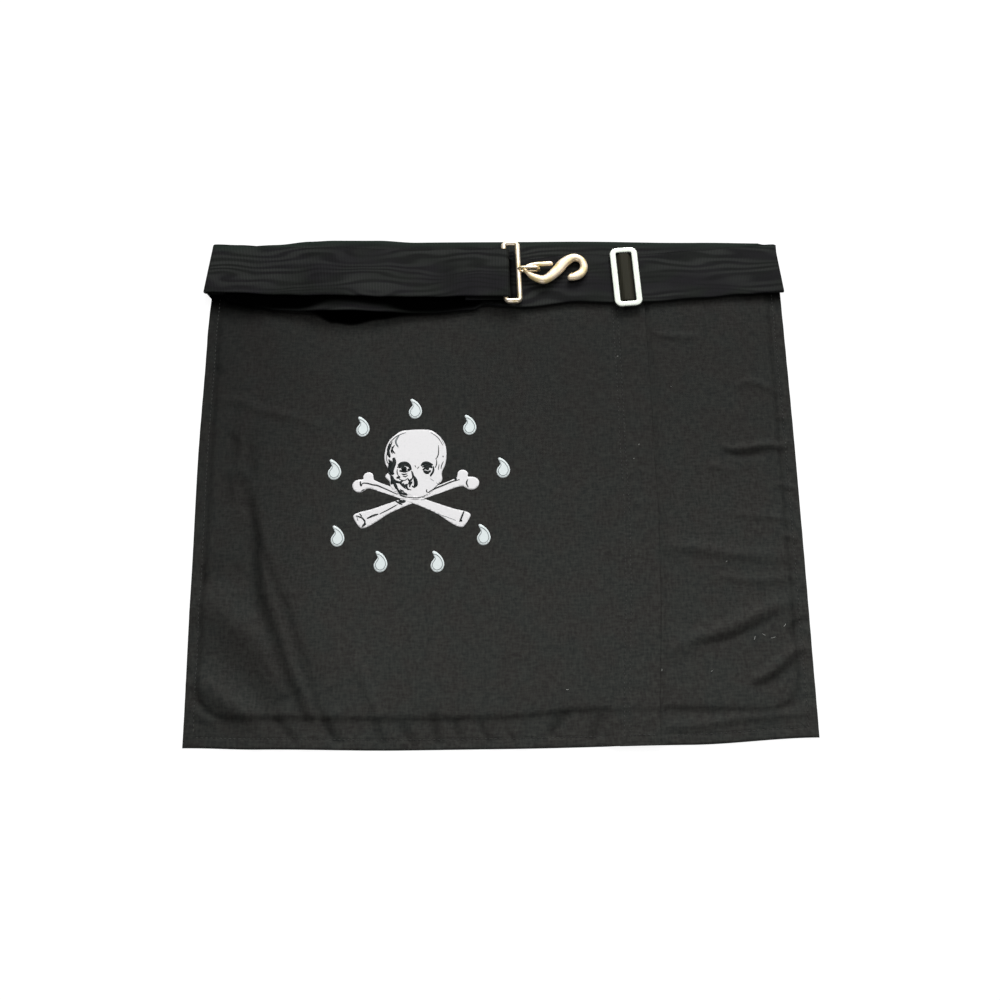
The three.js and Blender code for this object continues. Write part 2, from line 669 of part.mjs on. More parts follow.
// A closed rounded rectangle as a curve, for wire loops
function roundedLoop(width, height, radius, cornerParts, place) {
  const points = [];
  const corners = [[1, 1, 0], [-1, 1, 90], [-1, -1, 180], [1, -1, 270]];
  for (const [sideX, sideY, startDegrees] of corners) {
    for (let i = 0; i <= cornerParts; i += 1) {
      const angle = THREE.MathUtils.degToRad(startDegrees + (90 * i) / cornerParts);
      points.push(place(
        sideX * (width / 2 - radius) + radius * Math.cos(angle),
        sideY * (height / 2 - radius) + radius * Math.sin(angle),
      ));
    }
  }
  return points;
}

// Rings at the given points only, so straight stretches cost no triangles
function wireThrough(points, wireRadius, sides, up) {
  const count = points.length;
  const curve = {
    getPoint: (share) => points[Math.round(share * count) % count].clone(),
    getTangent: (share) => {
      const i = Math.round(share * count);
      return points[(i + 1) % count].clone().sub(points[(i + count - 1) % count]).normalize();
    },
  };
  const radius = () => wireRadius;
  return wire({ curve, parts: count, sides, up, closed: true, halfWidth: radius, halfThickness: radius });
}

function buckleLoop() {
  const leanX = (y) => BUCKLE.x + BUCKLE_WIDTH / 2 - BUCKLE.lean * (y - BUCKLE.y);
  const { cornerRadius, cornerParts } = BUCKLE;
  const loopPoints = roundedLoop(BUCKLE_WIDTH, BUCKLE_HEIGHT, cornerRadius, cornerParts, (x, y) => (
    new THREE.Vector3(leanX(BUCKLE.y + y) + x, BUCKLE.y + y, BUCKLE_LEVEL)
  ));
  const loop = wireThrough(loopPoints, BUCKLE_WIRE / 2, BUCKLE.sides, new THREE.Vector3(0, 0, 1));
  const barX = leanX(EYE.y) + BUCKLE_WIDTH / 2;
  const eyePoints = roundedLoop(EYE.reach, 2 * EYE.halfHeight, EYE.cornerRadius, EYE.cornerParts, (x, z) => (
    new THREE.Vector3(barX + EYE.reach / 2 + x, EYE.y, EYE_LEVEL + z)
  ));
  const eye = wireThrough(eyePoints, EYE_WIRE / 2, EYE.sides, new THREE.Vector3(0, 1, 0));
  const joined = toManifold(loop).add(toManifold(eye));
  return named('buckle_loop', fromManifold(joined), POLISHED_GOLD);
}

// Snake hook: middle line as shares of its length from its left turn, x to the right and y up,
// width and thickness of the cast section in mm
const HOOK = {
  x: 0.0508 * PANEL_WIDTH,
  y: 0.4323 * PANEL_HEIGHT,
  droop: 0.045,
  parts: 50,
  sides: 12,
  endRounding: 0.03,
  endShare: 0.45,
};
const HOOK_LINE = [
  { x: 0.472, y: 0.101, width: 3.3, thickness: 2.4 },
  { x: 0.323, y: 0.091, width: 3.4, thickness: 2.6 },
  { x: 0.205, y: 0.08, width: 3.4, thickness: 2.8 },
  { x: 0.098, y: 0.062, width: 2.9, thickness: 2.9 },
  { x: 0.026, y: 0.023, width: 2.6, thickness: 2.8 },
  { x: 0.0, y: -0.017, width: 2.6, thickness: 2.8 },
  { x: 0.04, y: -0.06, width: 3.0, thickness: 3.0 },
  { x: 0.14, y: -0.14, width: 4.8, thickness: 3.8 },
  { x: 0.288, y: -0.194, width: 6.1, thickness: 4.4 },
  { x: 0.398, y: -0.154, width: 6.6, thickness: 4.7 },
  { x: 0.542, y: -0.019, width: 7.6, thickness: 5.0 },
  { x: 0.647, y: 0.109, width: 7.4, thickness: 4.9 },
  { x: 0.798, y: 0.207, width: 6.0, thickness: 4.5 },
  { x: 0.923, y: 0.179, width: 5.0, thickness: 4.0 },
  { x: 0.979, y: 0.058, width: 5.3, thickness: 4.0 },
  { x: 0.94, y: -0.056, width: 6.0, thickness: 4.1 },
  { x: 0.844, y: -0.121, width: 6.2, thickness: 4.1 },
  { x: 0.751, y: -0.145, width: 4.9, thickness: 3.8 },
  { x: 0.705, y: -0.142, width: 4.0, thickness: 3.2 },
];

function snakeHook() {
  const curve = new THREE.CatmullRomCurve3(HOOK_LINE.map(({ x, y }) => new THREE.Vector3(
    HOOK.x + x * HOOK_LENGTH,
    HOOK.y + y * HOOK_LENGTH,
    EYE_LEVEL - HOOK.droop * x * HOOK_LENGTH,
  )), false, 'centripetal');
  const rows = HOOK_LINE.map((row, i) => ({ ...row, share: i / (HOOK_LINE.length - 1) }));
  const endRounding = (share) => {
    const inset = Math.min(Math.min(share, 1 - share) / HOOK.endRounding, 1);
    return THREE.MathUtils.lerp(HOOK.endShare, 1, Math.sqrt(1 - (1 - inset) ** 2));
  };
  const half = (column) => (share) => 0.5 * between(rows, 'share', column, share) * endRounding(share);
  return named('s_hook', wire({
    curve,
    parts: HOOK.parts,
    sides: HOOK.sides,
    up: new THREE.Vector3(0, 0, 1),
    halfWidth: half('width'),
    halfThickness: half('thickness'),
  }), POLISHED_GOLD);
}

// Flat pieces cut from a shape

function roundedRectangle(width, height, radius) {
  const x = width / 2;
  const y = height / 2;
  const shape = new THREE.Shape();
  shape.moveTo(-x + radius, -y);
  shape.lineTo(x - radius, -y);
  shape.absarc(x - radius, -y + radius, radius, -Math.PI / 2, 0);
  shape.lineTo(x, y - radius);
  shape.absarc(x - radius, y - radius, radius, 0, Math.PI / 2);
  shape.lineTo(-x + radius, y);
  shape.absarc(-x + radius, y - radius, radius, Math.PI / 2, Math.PI);
  shape.lineTo(-x, -y + radius);
  shape.absarc(-x + radius, -y + radius, radius, Math.PI, 1.5 * Math.PI);
  return shape;
}

function plate(shape, thickness, curveSegments, bevel = 0) {
  const geometry = new THREE.ExtrudeGeometry(shape, {
    depth: thickness - 2 * bevel,
    curveSegments,
    bevelEnabled: bevel > 0,
    bevelThickness: bevel,
    bevelSize: bevel,
    bevelOffset: -bevel,
    bevelSegments: 1,
  });
  geometry.translate(0, 0, bevel);
  return geometry;
}

// Slider: a flat frame with a thinner centre bar low in its opening, under the webbing
const SLIDER_BEVEL = 0.5;
const CORNER_PARTS = 4;
const OPENING_CORNER_PARTS = 3;

function beltSlider() {
  const shape = roundedRectangle(SLIDER_WIDTH, SLIDER_HEIGHT, SLIDER.cornerRadius);
  const openingHeight = SLIDER_HEIGHT - 2 * SLIDER.endBar;
  const opening = roundedRectangle(SLIDER.opening, openingHeight, SLIDER.openingCorner);
  shape.holes.push(new THREE.Path(opening.getPoints(OPENING_CORNER_PARTS).reverse()));
  const frame = plate(shape, SLIDER_THICKNESS, CORNER_PARTS, SLIDER_BEVEL);
  const barLength = openingHeight + 2 * SLIDER.centreBarSunkEnd;
  const centreBar = new THREE.BoxGeometry(SLIDER.centreBar, barLength, SLIDER.centreBarThickness);
  centreBar.translate(0, 0, SLIDER.centreBarThickness / 2);
  const joined = toManifold(frame).add(toManifold(centreBar));
  const slider = named('belt_slider', fromManifold(joined), SATIN_SILVER);
  slider.position.set(SLIDER.x, SLIDER.y, SLIDER.z);
  slider.rotation.z = Math.atan(SLIDER.lean);
  return slider;
}

// Printed emblem

const PRINT_LEVEL = PANEL_TOP + GAP;
const EMBLEM = { x: -0.1385 * PANEL_WIDTH, y: -0.044 * PANEL_HEIGHT };

function closedShape(outline, width, height, partsEach = 1) {
  const points = outline.map(([u, v]) => new THREE.Vector3(u * width, v * height, 0));
  const curve = new THREE.CatmullRomCurve3(points, true, 'centripetal');
  return new THREE.Shape(curve.getPoints(outline.length * partsEach).slice(0, -1).map(({ x, y }) => (
    new THREE.Vector2(x, y)
  )));
}

// Skull: shares of its width and height from the middle of its chin
const SKULL_OUTLINE = [
  [0.0, 0.0], [0.2, 0.06], [0.36, 0.2], [0.43, 0.28], [0.424, 0.383], [0.481, 0.506], [0.498, 0.654],
  [0.467, 0.802], [0.354, 0.926], [0.198, 0.995], [-0.17, 0.99], [-0.311, 0.938], [-0.438, 0.827],
  [-0.495, 0.667], [-0.488, 0.531], [-0.424, 0.414], [-0.481, 0.333], [-0.41, 0.26], [-0.382, 0.173],
  [-0.24, 0.06],
];
const HOLLOW_PARTS = 10;
const SKULL_HOLLOWS = [
  { x: -0.18, y: 0.43, halfWidth: 0.1, halfHeight: 0.07 },
  { x: 0.2, y: 0.445, halfWidth: 0.09, halfHeight: 0.07 },
  { x: -0.02, y: 0.27, halfWidth: 0.035, halfHeight: 0.06 },
];

function skullShape(scale = 1) {
  const centre = 0.5;
  const grown = SKULL_OUTLINE.map(([u, v]) => [u * scale, centre + (v - centre) * scale]);
  return closedShape(grown, SKULL_WIDTH, SKULL_HEIGHT, 2);
}

function skullPrint() {
  const shape = skullShape();
  for (const { x, y, halfWidth, halfHeight } of SKULL_HOLLOWS) {
    const hollow = new THREE.Path();
    hollow.absellipse(
      x * SKULL_WIDTH,
      y * SKULL_HEIGHT,
      halfWidth * SKULL_WIDTH,
      halfHeight * SKULL_HEIGHT,
      0,
      2 * Math.PI,
      true,
    );
    shape.holes.push(hollow);
  }
  const skull = named('skull_print', plate(shape, PRINT_THICKNESS, HOLLOW_PARTS), PRINT_WHITE);
  skull.position.set(EMBLEM.x, EMBLEM.y, PRINT_LEVEL);
  return skull;
}

// Bones: the knuckled and the flared end from the emblem's middle as shares of the skull's
// width and height; half widths along a bone in shares of the skull's width
const BONES = [
  { fromX: -0.81, fromY: 0.274, toX: 0.76, toY: -0.242 },
  { fromX: 0.82, fromY: 0.298, toX: -0.845, toY: -0.242 },
];
const BONE_HALF_WIDTHS = [
  { along: 0.015, half: 0.0 }, { along: -0.05, half: 0.09 }, { along: -0.045, half: 0.17 },
  { along: 0.01, half: 0.225 }, { along: 0.07, half: 0.2 }, { along: 0.12, half: 0.115 },
  { along: 0.22, half: 0.08 }, { along: 0.5, half: 0.072 }, { along: 0.78, half: 0.095 },
  { along: 0.93, half: 0.165 }, { along: 1.02, half: 0.15 }, { along: 1.04, half: 0.0 },
];
const BONE_CUT_SCALE = 1.02;
const BONE_CUT_THICKNESS = 3 * PRINT_THICKNESS;

function boneSolid({ fromX, fromY, toX, toY }) {
  const start = new THREE.Vector2(fromX * SKULL_WIDTH, fromY * SKULL_HEIGHT);
  const end = new THREE.Vector2(toX * SKULL_WIDTH, toY * SKULL_HEIGHT);
  const length = start.distanceTo(end);
  const upper = BONE_HALF_WIDTHS.map(({ along, half }) => [along * length, half * SKULL_WIDTH]);
  const lower = upper.slice(1, -1).reverse().map(([x, y]) => [x, -y]);
  const geometry = plate(closedShape([...upper, ...lower].reverse(), 1, 1, 2), PRINT_THICKNESS, 1);
  geometry.rotateZ(end.clone().sub(start).angle());
  geometry.translate(start.x, start.y, 0);
  return toManifold(geometry);
}

function crossbonesPrint() {
  const [first, second] = BONES.map(boneSolid);
  const cutter = plate(skullShape(BONE_CUT_SCALE), BONE_CUT_THICKNESS, 1);
  cutter.translate(0, 0, -PRINT_THICKNESS);
  const bones = first.add(second).subtract(toManifold(cutter));
  const print = named('crossbones_print', fromManifold(bones), PRINT_WHITE);
  print.position.set(EMBLEM.x, EMBLEM.y, PRINT_LEVEL);
  return print;
}

// Tears: centres from the emblem's middle in shares of the skull's width and height
const TEARS = [
  { x: -0.01, y: 1.304 },
  { x: 0.875, y: 1.062 },
  { x: 1.411, y: 0.442 },
  { x: 1.09, y: -0.49 },
  { x: 0.361, y: -0.85 },
  { x: -0.532, y: -0.842 },
  { x: -1.217, y: -0.488 },
  { x: -1.298, y: 0.44 },
  { x: -0.857, y: 1.052 },
];
const TEAR_OUTLINE = [
  [0, -0.5], [0.3, -0.417], [0.463, -0.25], [0.5, -0.107], [0.407, 0.107], [0.185, 0.31],
  [-0.093, 0.452], [-0.278, 0.5], [-0.38, 0.452], [-0.315, 0.345], [-0.222, 0.226],
  [-0.278, 0.107], [-0.444, -0.036], [-0.5, -0.19], [-0.426, -0.345], [-0.241, -0.464],
];

function tearPrint({ x, y }, i) {
  const shape = closedShape(TEAR_OUTLINE, TEAR_WIDTH, TEAR_HEIGHT);
  const tear = named(`tear_print_${i + 1}`, plate(shape, PRINT_THICKNESS, 1), PRINT_WHITE);
  tear.position.set(EMBLEM.x + x * SKULL_WIDTH, EMBLEM.y + y * SKULL_HEIGHT, PRINT_LEVEL);
  return tear;
}

const apron = new THREE.Group();
apron.add(apronPanel(), pocketPanel());
apron.add(waistband(), beltRight(), beltLeft());
apron.add(buckleLoop(), snakeHook(), beltSlider());
apron.add(skullPrint(), crossbonesPrint(), ...TEARS.map(tearPrint));

export default apron;
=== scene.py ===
import math

import bpy
import numpy as np
from mathutils import Matrix, Vector, geometry


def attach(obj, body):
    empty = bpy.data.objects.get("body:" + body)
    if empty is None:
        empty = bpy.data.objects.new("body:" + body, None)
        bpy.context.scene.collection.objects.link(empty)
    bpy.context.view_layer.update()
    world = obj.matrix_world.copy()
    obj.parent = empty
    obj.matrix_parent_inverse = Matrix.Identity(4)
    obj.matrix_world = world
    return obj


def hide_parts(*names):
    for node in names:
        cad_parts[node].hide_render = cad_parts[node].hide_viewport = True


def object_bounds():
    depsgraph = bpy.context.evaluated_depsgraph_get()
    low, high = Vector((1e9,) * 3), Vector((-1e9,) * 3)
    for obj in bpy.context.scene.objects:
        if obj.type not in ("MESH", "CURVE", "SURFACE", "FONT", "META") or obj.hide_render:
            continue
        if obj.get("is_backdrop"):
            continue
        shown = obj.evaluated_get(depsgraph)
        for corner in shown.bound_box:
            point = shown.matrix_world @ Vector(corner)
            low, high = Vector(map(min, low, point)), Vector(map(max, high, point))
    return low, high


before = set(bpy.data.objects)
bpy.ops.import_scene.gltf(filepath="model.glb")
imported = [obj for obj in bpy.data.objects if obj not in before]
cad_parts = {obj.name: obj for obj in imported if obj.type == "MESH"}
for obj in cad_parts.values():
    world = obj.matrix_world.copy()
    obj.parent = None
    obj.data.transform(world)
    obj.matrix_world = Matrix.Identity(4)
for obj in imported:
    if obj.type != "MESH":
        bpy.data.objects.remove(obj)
cad_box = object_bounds()

# Lengths below are millimetres unless a name says otherwise; meshes are made in metres
MM = 0.001

# Driving dimensions, as in the frame
PANEL_WIDTH = 400.0
PANEL_HEIGHT = 350.0
CLOTH = 1.2
STIFFENER_RISE = 1.2
LAP_WIDTH = 26.0
WEBBING_WIDTH = 37.0
WEBBING = 1.2
BUCKLE_HEIGHT = 44.6
BUCKLE_WIDTH = 9.6
BUCKLE_WIRE = 3.6
EYE_WIRE = 1.8
HOOK_LENGTH = 43.0
SLIDER_WIDTH = 19.8
SLIDER_HEIGHT = 45.5
SLIDER_THICKNESS = 2.2
SKULL_WIDTH = 42.0
SKULL_HEIGHT = 50.0
TEAR_WIDTH = 9.0
TEAR_HEIGHT = 14.5
GAP = 0.3

# Levels of the stack
LAP_UNDERSIDE = CLOTH + GAP
LAP_TOP = LAP_UNDERSIDE + CLOTH
STRAP_STEP = WEBBING + GAP
WAISTBAND_LEVEL = LAP_TOP + GAP + WEBBING / 2
RIGHT_STRAP_LEVEL = WAISTBAND_LEVEL + STRAP_STEP
LEFT_STRAP_LEVEL = RIGHT_STRAP_LEVEL + STRAP_STEP
STRAP_TOP = RIGHT_STRAP_LEVEL + WEBBING / 2


# Number helpers

def smoothstep(value, low=0.0, high=1.0):
    share = np.clip((value - low) / (high - low), 0.0, 1.0)
    return share * share * (3.0 - 2.0 * share)


def column_of(table, name):
    return np.array([row[name] for row in table])


def between(table, column, at):
    """The column's value at a place along the table, eased from row to row."""
    places, values = column_of(table, "along"), column_of(table, column)
    at = np.clip(at, places[0], places[-1])
    after = np.clip(np.searchsorted(places, at, side="right"), 1, len(places) - 1)
    share = (at - places[after - 1]) / (places[after] - places[after - 1])
    return values[after - 1] + (values[after] - values[after - 1]) * smoothstep(share)


def rows(columns, *lines):
    """A table written as lines under their column names."""
    names = columns.split()
    return [dict(zip(names, line)) for line in lines]


def steps(start, end, size):
    count = max(1, round(abs(end - start) / size))
    return np.linspace(start, end, count + 1)


# The noise repeats after this many lumps, and is moved so that every place on the apron is positive
NOISE_GRID = 64
NOISE_SHIFT = 1000.0


def soft_noise(x, y, size, seed):
    """Smooth noise from -1 to 1 with lumps of about the given size."""
    grid = np.random.default_rng(seed).uniform(-1.0, 1.0, (NOISE_GRID, NOISE_GRID))
    column = np.asarray(x) / size + NOISE_SHIFT
    row = np.asarray(y) / size + NOISE_SHIFT
    i, j = np.floor(column).astype(int), np.floor(row).astype(int)
    u, v = smoothstep(column - i), smoothstep(row - j)
    corner = lambda a, b: grid[(j + b) % NOISE_GRID, (i + a) % NOISE_GRID]
    lower = corner(0, 0) * (1 - u) + corner(1, 0) * u
    upper = corner(0, 1) * (1 - u) + corner(1, 1) * u
    return lower * (1 - v) + upper * v


def spline(points, parts):
    """Points of a smooth curve through the given ones, parts to each stretch."""
    points = np.array(points, float)
    padded = np.vstack([2 * points[0] - points[1], points, 2 * points[-1] - points[-2]])
    return curve_through(padded, len(points) - 1, parts, [points[-1]])


def closed_spline(points, parts):
    points = np.array(points, float)
    padded = np.vstack([points[-1], points, points[0], points[1]])
    return curve_through(padded, len(points), parts, [])


def curve_through(padded, stretches, parts, end):
    """A cubic piece over each stretch, shaped by the points before and after it."""
    found = []
    for i in range(stretches):
        a, b, c, d = padded[i:i + 4]
        for t in np.arange(parts) / parts:
            found.append(0.5 * (2 * b + (c - a) * t + (2 * a - 5 * b + 4 * c - d) * t * t
                                + (3 * b - a - 3 * c + d) * t ** 3))
    return np.array(found + list(end))


# Outline of the panel, as in the frame

LEFT_SIDE = rows("along out", (0, 0.0055), (0.3, 0.0112), (0.55, 0.0153), (0.8, 0.01), (1, -0.0035))
RIGHT_SIDE = rows("along out", (0, 0.0088), (0.5, 0.01), (1, 0.0038))
LOWER_SIDE = rows(
    "along out",
    (0, 0.011), (0.12, 0.0187), (0.34, 0.0275), (0.5, 0.0265), (0.8, 0.0187), (1, -0.0025),
)
UPPER_SIDE = rows(
    "along out",
    (0, -0.009), (0.11, 0.0062), (0.17, 0.0195), (0.21, 0.0228), (0.29, 0.0205), (0.36, 0.0096),
    (0.62, 0.0066), (0.86, -0.0052), (1, -0.012),
)
POCKET_SIDE = rows("along at", (0, 0.508), (0.33, 0.533), (0.42, 0.537), (0.6, 0.5315), (1, 0.5215))


def left_edge(v):
    return -PANEL_WIDTH / 2 * (1 + between(LEFT_SIDE, "out", v))


def right_edge(v):
    return PANEL_WIDTH / 2 * (1 + between(RIGHT_SIDE, "out", v))


def pocket_edge(v):
    return PANEL_WIDTH / 2 * between(POCKET_SIDE, "at", v)


def lower_edge(x):
    return -PANEL_HEIGHT / 2 * (1 + between(LOWER_SIDE, "out", x / PANEL_WIDTH + 0.5))


def upper_edge(x):
    return PANEL_HEIGHT / 2 * (1 + between(UPPER_SIDE, "out", x / PANEL_WIDTH + 0.5))


# Relief of the cloth

# Creases: points along each in mm from the panel's middle, its rise as a share of CREASE_SCALE, and how far
# it reaches to each side in mm. A negative rise is a sunk fold
CREASES = rows(
    "points rise reach",
    # Long soft folds down the left side
    ([(-174, 92), (-173, 56), (-173, 32), (-173, 9), (-168, -2)], 0.42, 5.0),
    ([(-167, 36), (-166, 14), (-162, -2)], -0.3, 3.2),
    ([(-184, 32), (-177, 26), (-179, 10)], -0.3, 3.2),
    ([(-183, 6), (-178, -20)], -0.25, 3.0),
    ([(-173, 4), (-162, -28), (-158, -77), (-146, -108), (-133, -140), (-119, -169)], -0.55, 3.6),
    ([(-167, -20), (-156, -45), (-149, -78), (-141, -100), (-131, -130), (-118, -160)], 0.62, 5.0),
    ([(-168, -13), (-159, -39), (-146, -72), (-138, -91), (-128, -120), (-114, -157), (-104, -173)],
     -0.4, 3.0),
    ([(-190, -76), (-160, -78), (-128, -79)], 0.14, 1.6),
    ([(-194, -58), (-192, -72)], -0.3, 3.0),
    ([(-194, 58), (-177, 57), (-161, 50), (-140, 45), (-118, 38)], 0.26, 3.2),
    ([(-194, 84), (-189, 74)], -0.25, 2.6),
    # Broad swells in the lower left corner
    ([(-199, -62), (-180, -66), (-156, -70)], -0.3, 8.0),
    ([(-198, -80), (-172, -96), (-150, -118), (-136, -146)], 1.15, 11.0),
    ([(-197, -113), (-176, -125), (-156, -146), (-150, -162)], -0.36, 9.0),
    ([(-197, -130), (-181, -144), (-163, -155), (-152, -161)], 1.0, 7.0),
    ([(-134, -112), (-116, -138), (-104, -156)], -0.3, 10.0),
    # Folds up from the lower hem
    ([(-94, -120), (-80, -151), (-78, -163)], 0.36, 3.2),
    ([(-197, -151), (-189, -158), (-179, -162)], 0.35, 3.0),
    ([(-144, -158), (-139, -164), (-129, -175)], -0.36, 2.8),
    ([(-113, -160), (-107, -168), (-101, -177)], -0.42, 2.8),
    ([(-79, -164), (-77, -171), (-73, -178)], -0.36, 2.6),
    ([(-64, -164), (-58, -171), (-53, -178)], -0.42, 2.6),
    ([(-43, -156), (-41, -168), (-38, -178)], -0.45, 2.8),
    ([(-29, -160), (-27, -168), (-23, -178)], -0.36, 2.6),
    ([(-14, -163), (-10, -170), (-6, -178)], -0.36, 2.6),
    ([(2, -166), (6, -171), (9, -178)], -0.2, 1.8),
    ([(65, -159), (56, -175)], -0.4, 2.6),
    ([(44, -158), (36, -164), (30, -173)], -0.5, 2.6),
    ([(92, -166), (124, -166), (151, -162), (180, -160), (198, -158)], 0.4, 3.0),
    # Wrinkles across the pocket panel
    ([(106, -122), (124, -112), (144, -106), (162, -98), (178, -91), (197, -85)], 0.62, 5.0),
    ([(122, -115), (146, -112), (166, -104), (182, -96)], -0.3, 3.0),
    ([(188, -111), (191, -103), (200, -98)], -0.35, 2.4),
    ([(162, -139), (174, -132), (189, -120), (200, -117)], 0.6, 3.2),
    ([(160, -145), (177, -137), (192, -126)], -0.35, 3.0),
    ([(106, -50), (127, -50), (157, -55), (198, -58)], 0.42, 4.4),
    ([(156, -27), (182, -30), (196, -32)], 0.28, 2.4),
    ([(186, -42), (199, -45)], 0.3, 2.2),
    ([(140, -69), (170, -73), (197, -70)], 0.28, 2.8),
    ([(140, 7), (148, 6), (159, 2)], 0.26, 2.4),
    ([(151, 22), (160, 18), (182, 21), (192, 20), (199, 24)], 0.5, 2.6),
    ([(152, 16), (166, 14), (186, 16)], -0.25, 2.6),
    ([(185, -6), (199, -10)], 0.3, 2.2),
    ([(163, 63), (175, 67), (195, 58)], 0.32, 3.0),
    ([(191, 41), (198, 40)], 0.22, 2.0),
    ([(110, 104), (121, 102), (143, 101)], 0.3, 2.8),
)
CREASES_END = 0.37 * PANEL_HEIGHT
CREASES_FADE = 0.04 * PANEL_HEIGHT
CREASE_SCALE = 3.6
CREASE_PARTS = 4
# A crease is only worked out inside its own box, widened by this many reaches
CREASE_CUTOFF = 3
# How much painted shade darkens a sunk fold, if it reaches less far than BROAD_REACH
CREASE_PAINTED_SHADE = 0.8
BROAD_REACH = 5.0


def crease_sum(x, y, weigh):
    """Adds up the creases, each as high as the weigh function says."""
    height = np.zeros_like(x)
    for crease in CREASES:
        if weigh(crease) == 0:
            continue
        line = spline(crease["points"], CREASE_PARTS)
        reach = crease["reach"]
        margin = CREASE_CUTOFF * reach
        low, high = line.min(axis=0) - margin, line.max(axis=0) + margin
        near = (x > low[0]) & (x < high[0]) & (y > low[1]) & (y < high[1])
        if not near.any():
            continue
        nearest, along = nearest_on(line, x[near], y[near])
        taper = np.sqrt(np.clip(np.sin(np.pi * along), 0, 1))
        height[near] += weigh(crease) * taper * np.exp(-((nearest / reach) ** 2))
    return height * smoothstep(CREASES_END - y, 0, CREASES_FADE)


def nearest_on(line, x, y):
    """How far the points are from the line, and where along it, from 0 to 1."""
    nearest = np.full(x.shape, np.inf)
    along = np.zeros_like(x)
    for i, (start, end) in enumerate(zip(line[:-1], line[1:])):
        run = end - start
        share = np.clip(((x - start[0]) * run[0] + (y - start[1]) * run[1]) / (run @ run), 0, 1)
        away = np.hypot(x - start[0] - share * run[0], y - start[1] - share * run[1])
        closer = away < nearest
        nearest = np.where(closer, away, nearest)
        along = np.where(closer, (i + share) / (len(line) - 1), along)
    return nearest, along


def crease_height(x, y):
    return crease_sum(x, y, lambda crease: CREASE_SCALE * crease["rise"])


def crease_shade(x, y):
    """The painted shade of the narrow sunk folds."""
    def dark(crease):
        sunk = max(0, -crease["rise"])
        return CREASE_PAINTED_SHADE * sunk * (crease["reach"] < BROAD_REACH)

    return crease_sum(x, y, dark)


# The stiffener's edge under the cloth; its insets are from the panel's lower side
STIFFENER_LEFT = -0.484 * PANEL_WIDTH
STIFFENER_RIGHT = 0.478 * PANEL_WIDTH
STIFFENER_INSETS = rows("along inset", (-0.5, 18.5), (0, 18.5), (0.13, 22.2), (0.26, 22.2), (0.47, 17.5))
STIFFENER_CORNER = 0.05 * PANEL_WIDTH
STIFFENER_SHOULDER = 3.2


def stiffener_inside(x, y):
    """How far the point lies inside the stiffener's edge."""
    middle = (STIFFENER_LEFT + STIFFENER_RIGHT) / 2
    across = np.abs(x - middle) - ((STIFFENER_RIGHT - STIFFENER_LEFT) / 2 - STIFFENER_CORNER)
    inset = between(STIFFENER_INSETS, "inset", x / PANEL_WIDTH)
    down = lower_edge(x) + inset + STIFFENER_CORNER - y
    corner = np.hypot(np.maximum(across, 0), np.maximum(down, 0))
    return STIFFENER_CORNER - np.where(corner > 0, corner, np.maximum(across, down))


def stiffener_height(x, y):
    return STIFFENER_RISE * smoothstep(stiffener_inside(x, y), 0, STIFFENER_SHOULDER)


# The hollow where the cloth sags under the bowed straps: its lower edge as a share of the height
HOLLOW = rows(
    "along low",
    (-0.36, 0.362), (-0.33, 0.347), (-0.285, 0.321), (-0.255, 0.316), (-0.2, 0.328), (-0.15, 0.338),
    (-0.11, 0.346), (-0.07, 0.362),
)
HOLLOW_DEPTH = 1.1
HOLLOW_LIP = 5.0


def hollow_share(x, y):
    low = PANEL_HEIGHT * between(HOLLOW, "low", x / PANEL_WIDTH)
    inside = (x / PANEL_WIDTH > HOLLOW[0]["along"]) & (x / PANEL_WIDTH < HOLLOW[-1]["along"])
    return np.where(inside, smoothstep(y - low, 0, HOLLOW_LIP), 0.0)


# The soft painted shadow that the stacked straps leave on the cloth below them at both sides of the apron
PENUMBRA = rows(
    "along low dark reach",
    (-0.5, 0.384, 0.9, 20), (-0.47, 0.374, 0.85, 22), (-0.43, 0.363, 0.7, 20), (-0.39, 0.354, 0.4, 13),
    (-0.35, 0.35, 0, 10), (0.4, 0.374, 0, 8), (0.45, 0.379, 0.55, 10), (0.5, 0.3825, 0.7, 13),
)
# The hollow's shares between which it is painted black as shade
HOLLOW_PAINTED_BLACK = (0.15, 0.9)
# The painted shade line beside the stiffener's edge, and the most painted shade that it or a fold gets
EDGE_PAINTED_SHADE = 0.26
EDGE_REACH = 1.8
FOLD_DARKEST = 0.5


def cloth_shade(x, y):
    """How much painted shade blackens the cloth: in the hollow, beside the straps, in folds and beside the
    stiffener.
    """
    share = x / PANEL_WIDTH
    below = PANEL_HEIGHT * between(PENUMBRA, "low", share) - y
    soft = between(PENUMBRA, "dark", share) * (1 - smoothstep(below / between(PENUMBRA, "reach", share)))
    folds = crease_shade(x, y) + EDGE_PAINTED_SHADE * np.exp(-((stiffener_inside(x, y) / EDGE_REACH) ** 2))
    folds = np.minimum(folds, FOLD_DARKEST)
    return np.maximum.reduce([smoothstep(hollow_share(x, y), *HOLLOW_PAINTED_BLACK), soft, folds])


# Edges and stitched grooves
STITCH_PITCH = 3.0
EDGE_ROUND = 1.6


def side_share(y):
    return np.clip(y / PANEL_HEIGHT + 0.5, 0, 1)


def groove(inset, offset, width):
    return np.exp(-(((inset - offset) / width) ** 2))


def bites(along, share):
    """The groove's depth, which swings by the share from stitch to stitch."""
    return 1 - share + share * np.cos(along / STITCH_PITCH * 2 * np.pi)


def rounding(inset, share):
    """How far the cloth drops towards its edge: by the share of its thickness at the very edge."""
    return share * CLOTH * (1 - np.clip(inset / EDGE_ROUND, 0, 1)) ** 2


def swells(x, y, table):
    """The noises of a table added up."""
    return sum(row["rise"] * soft_noise(x, y, row["size"], row["seed"]) for row in table)


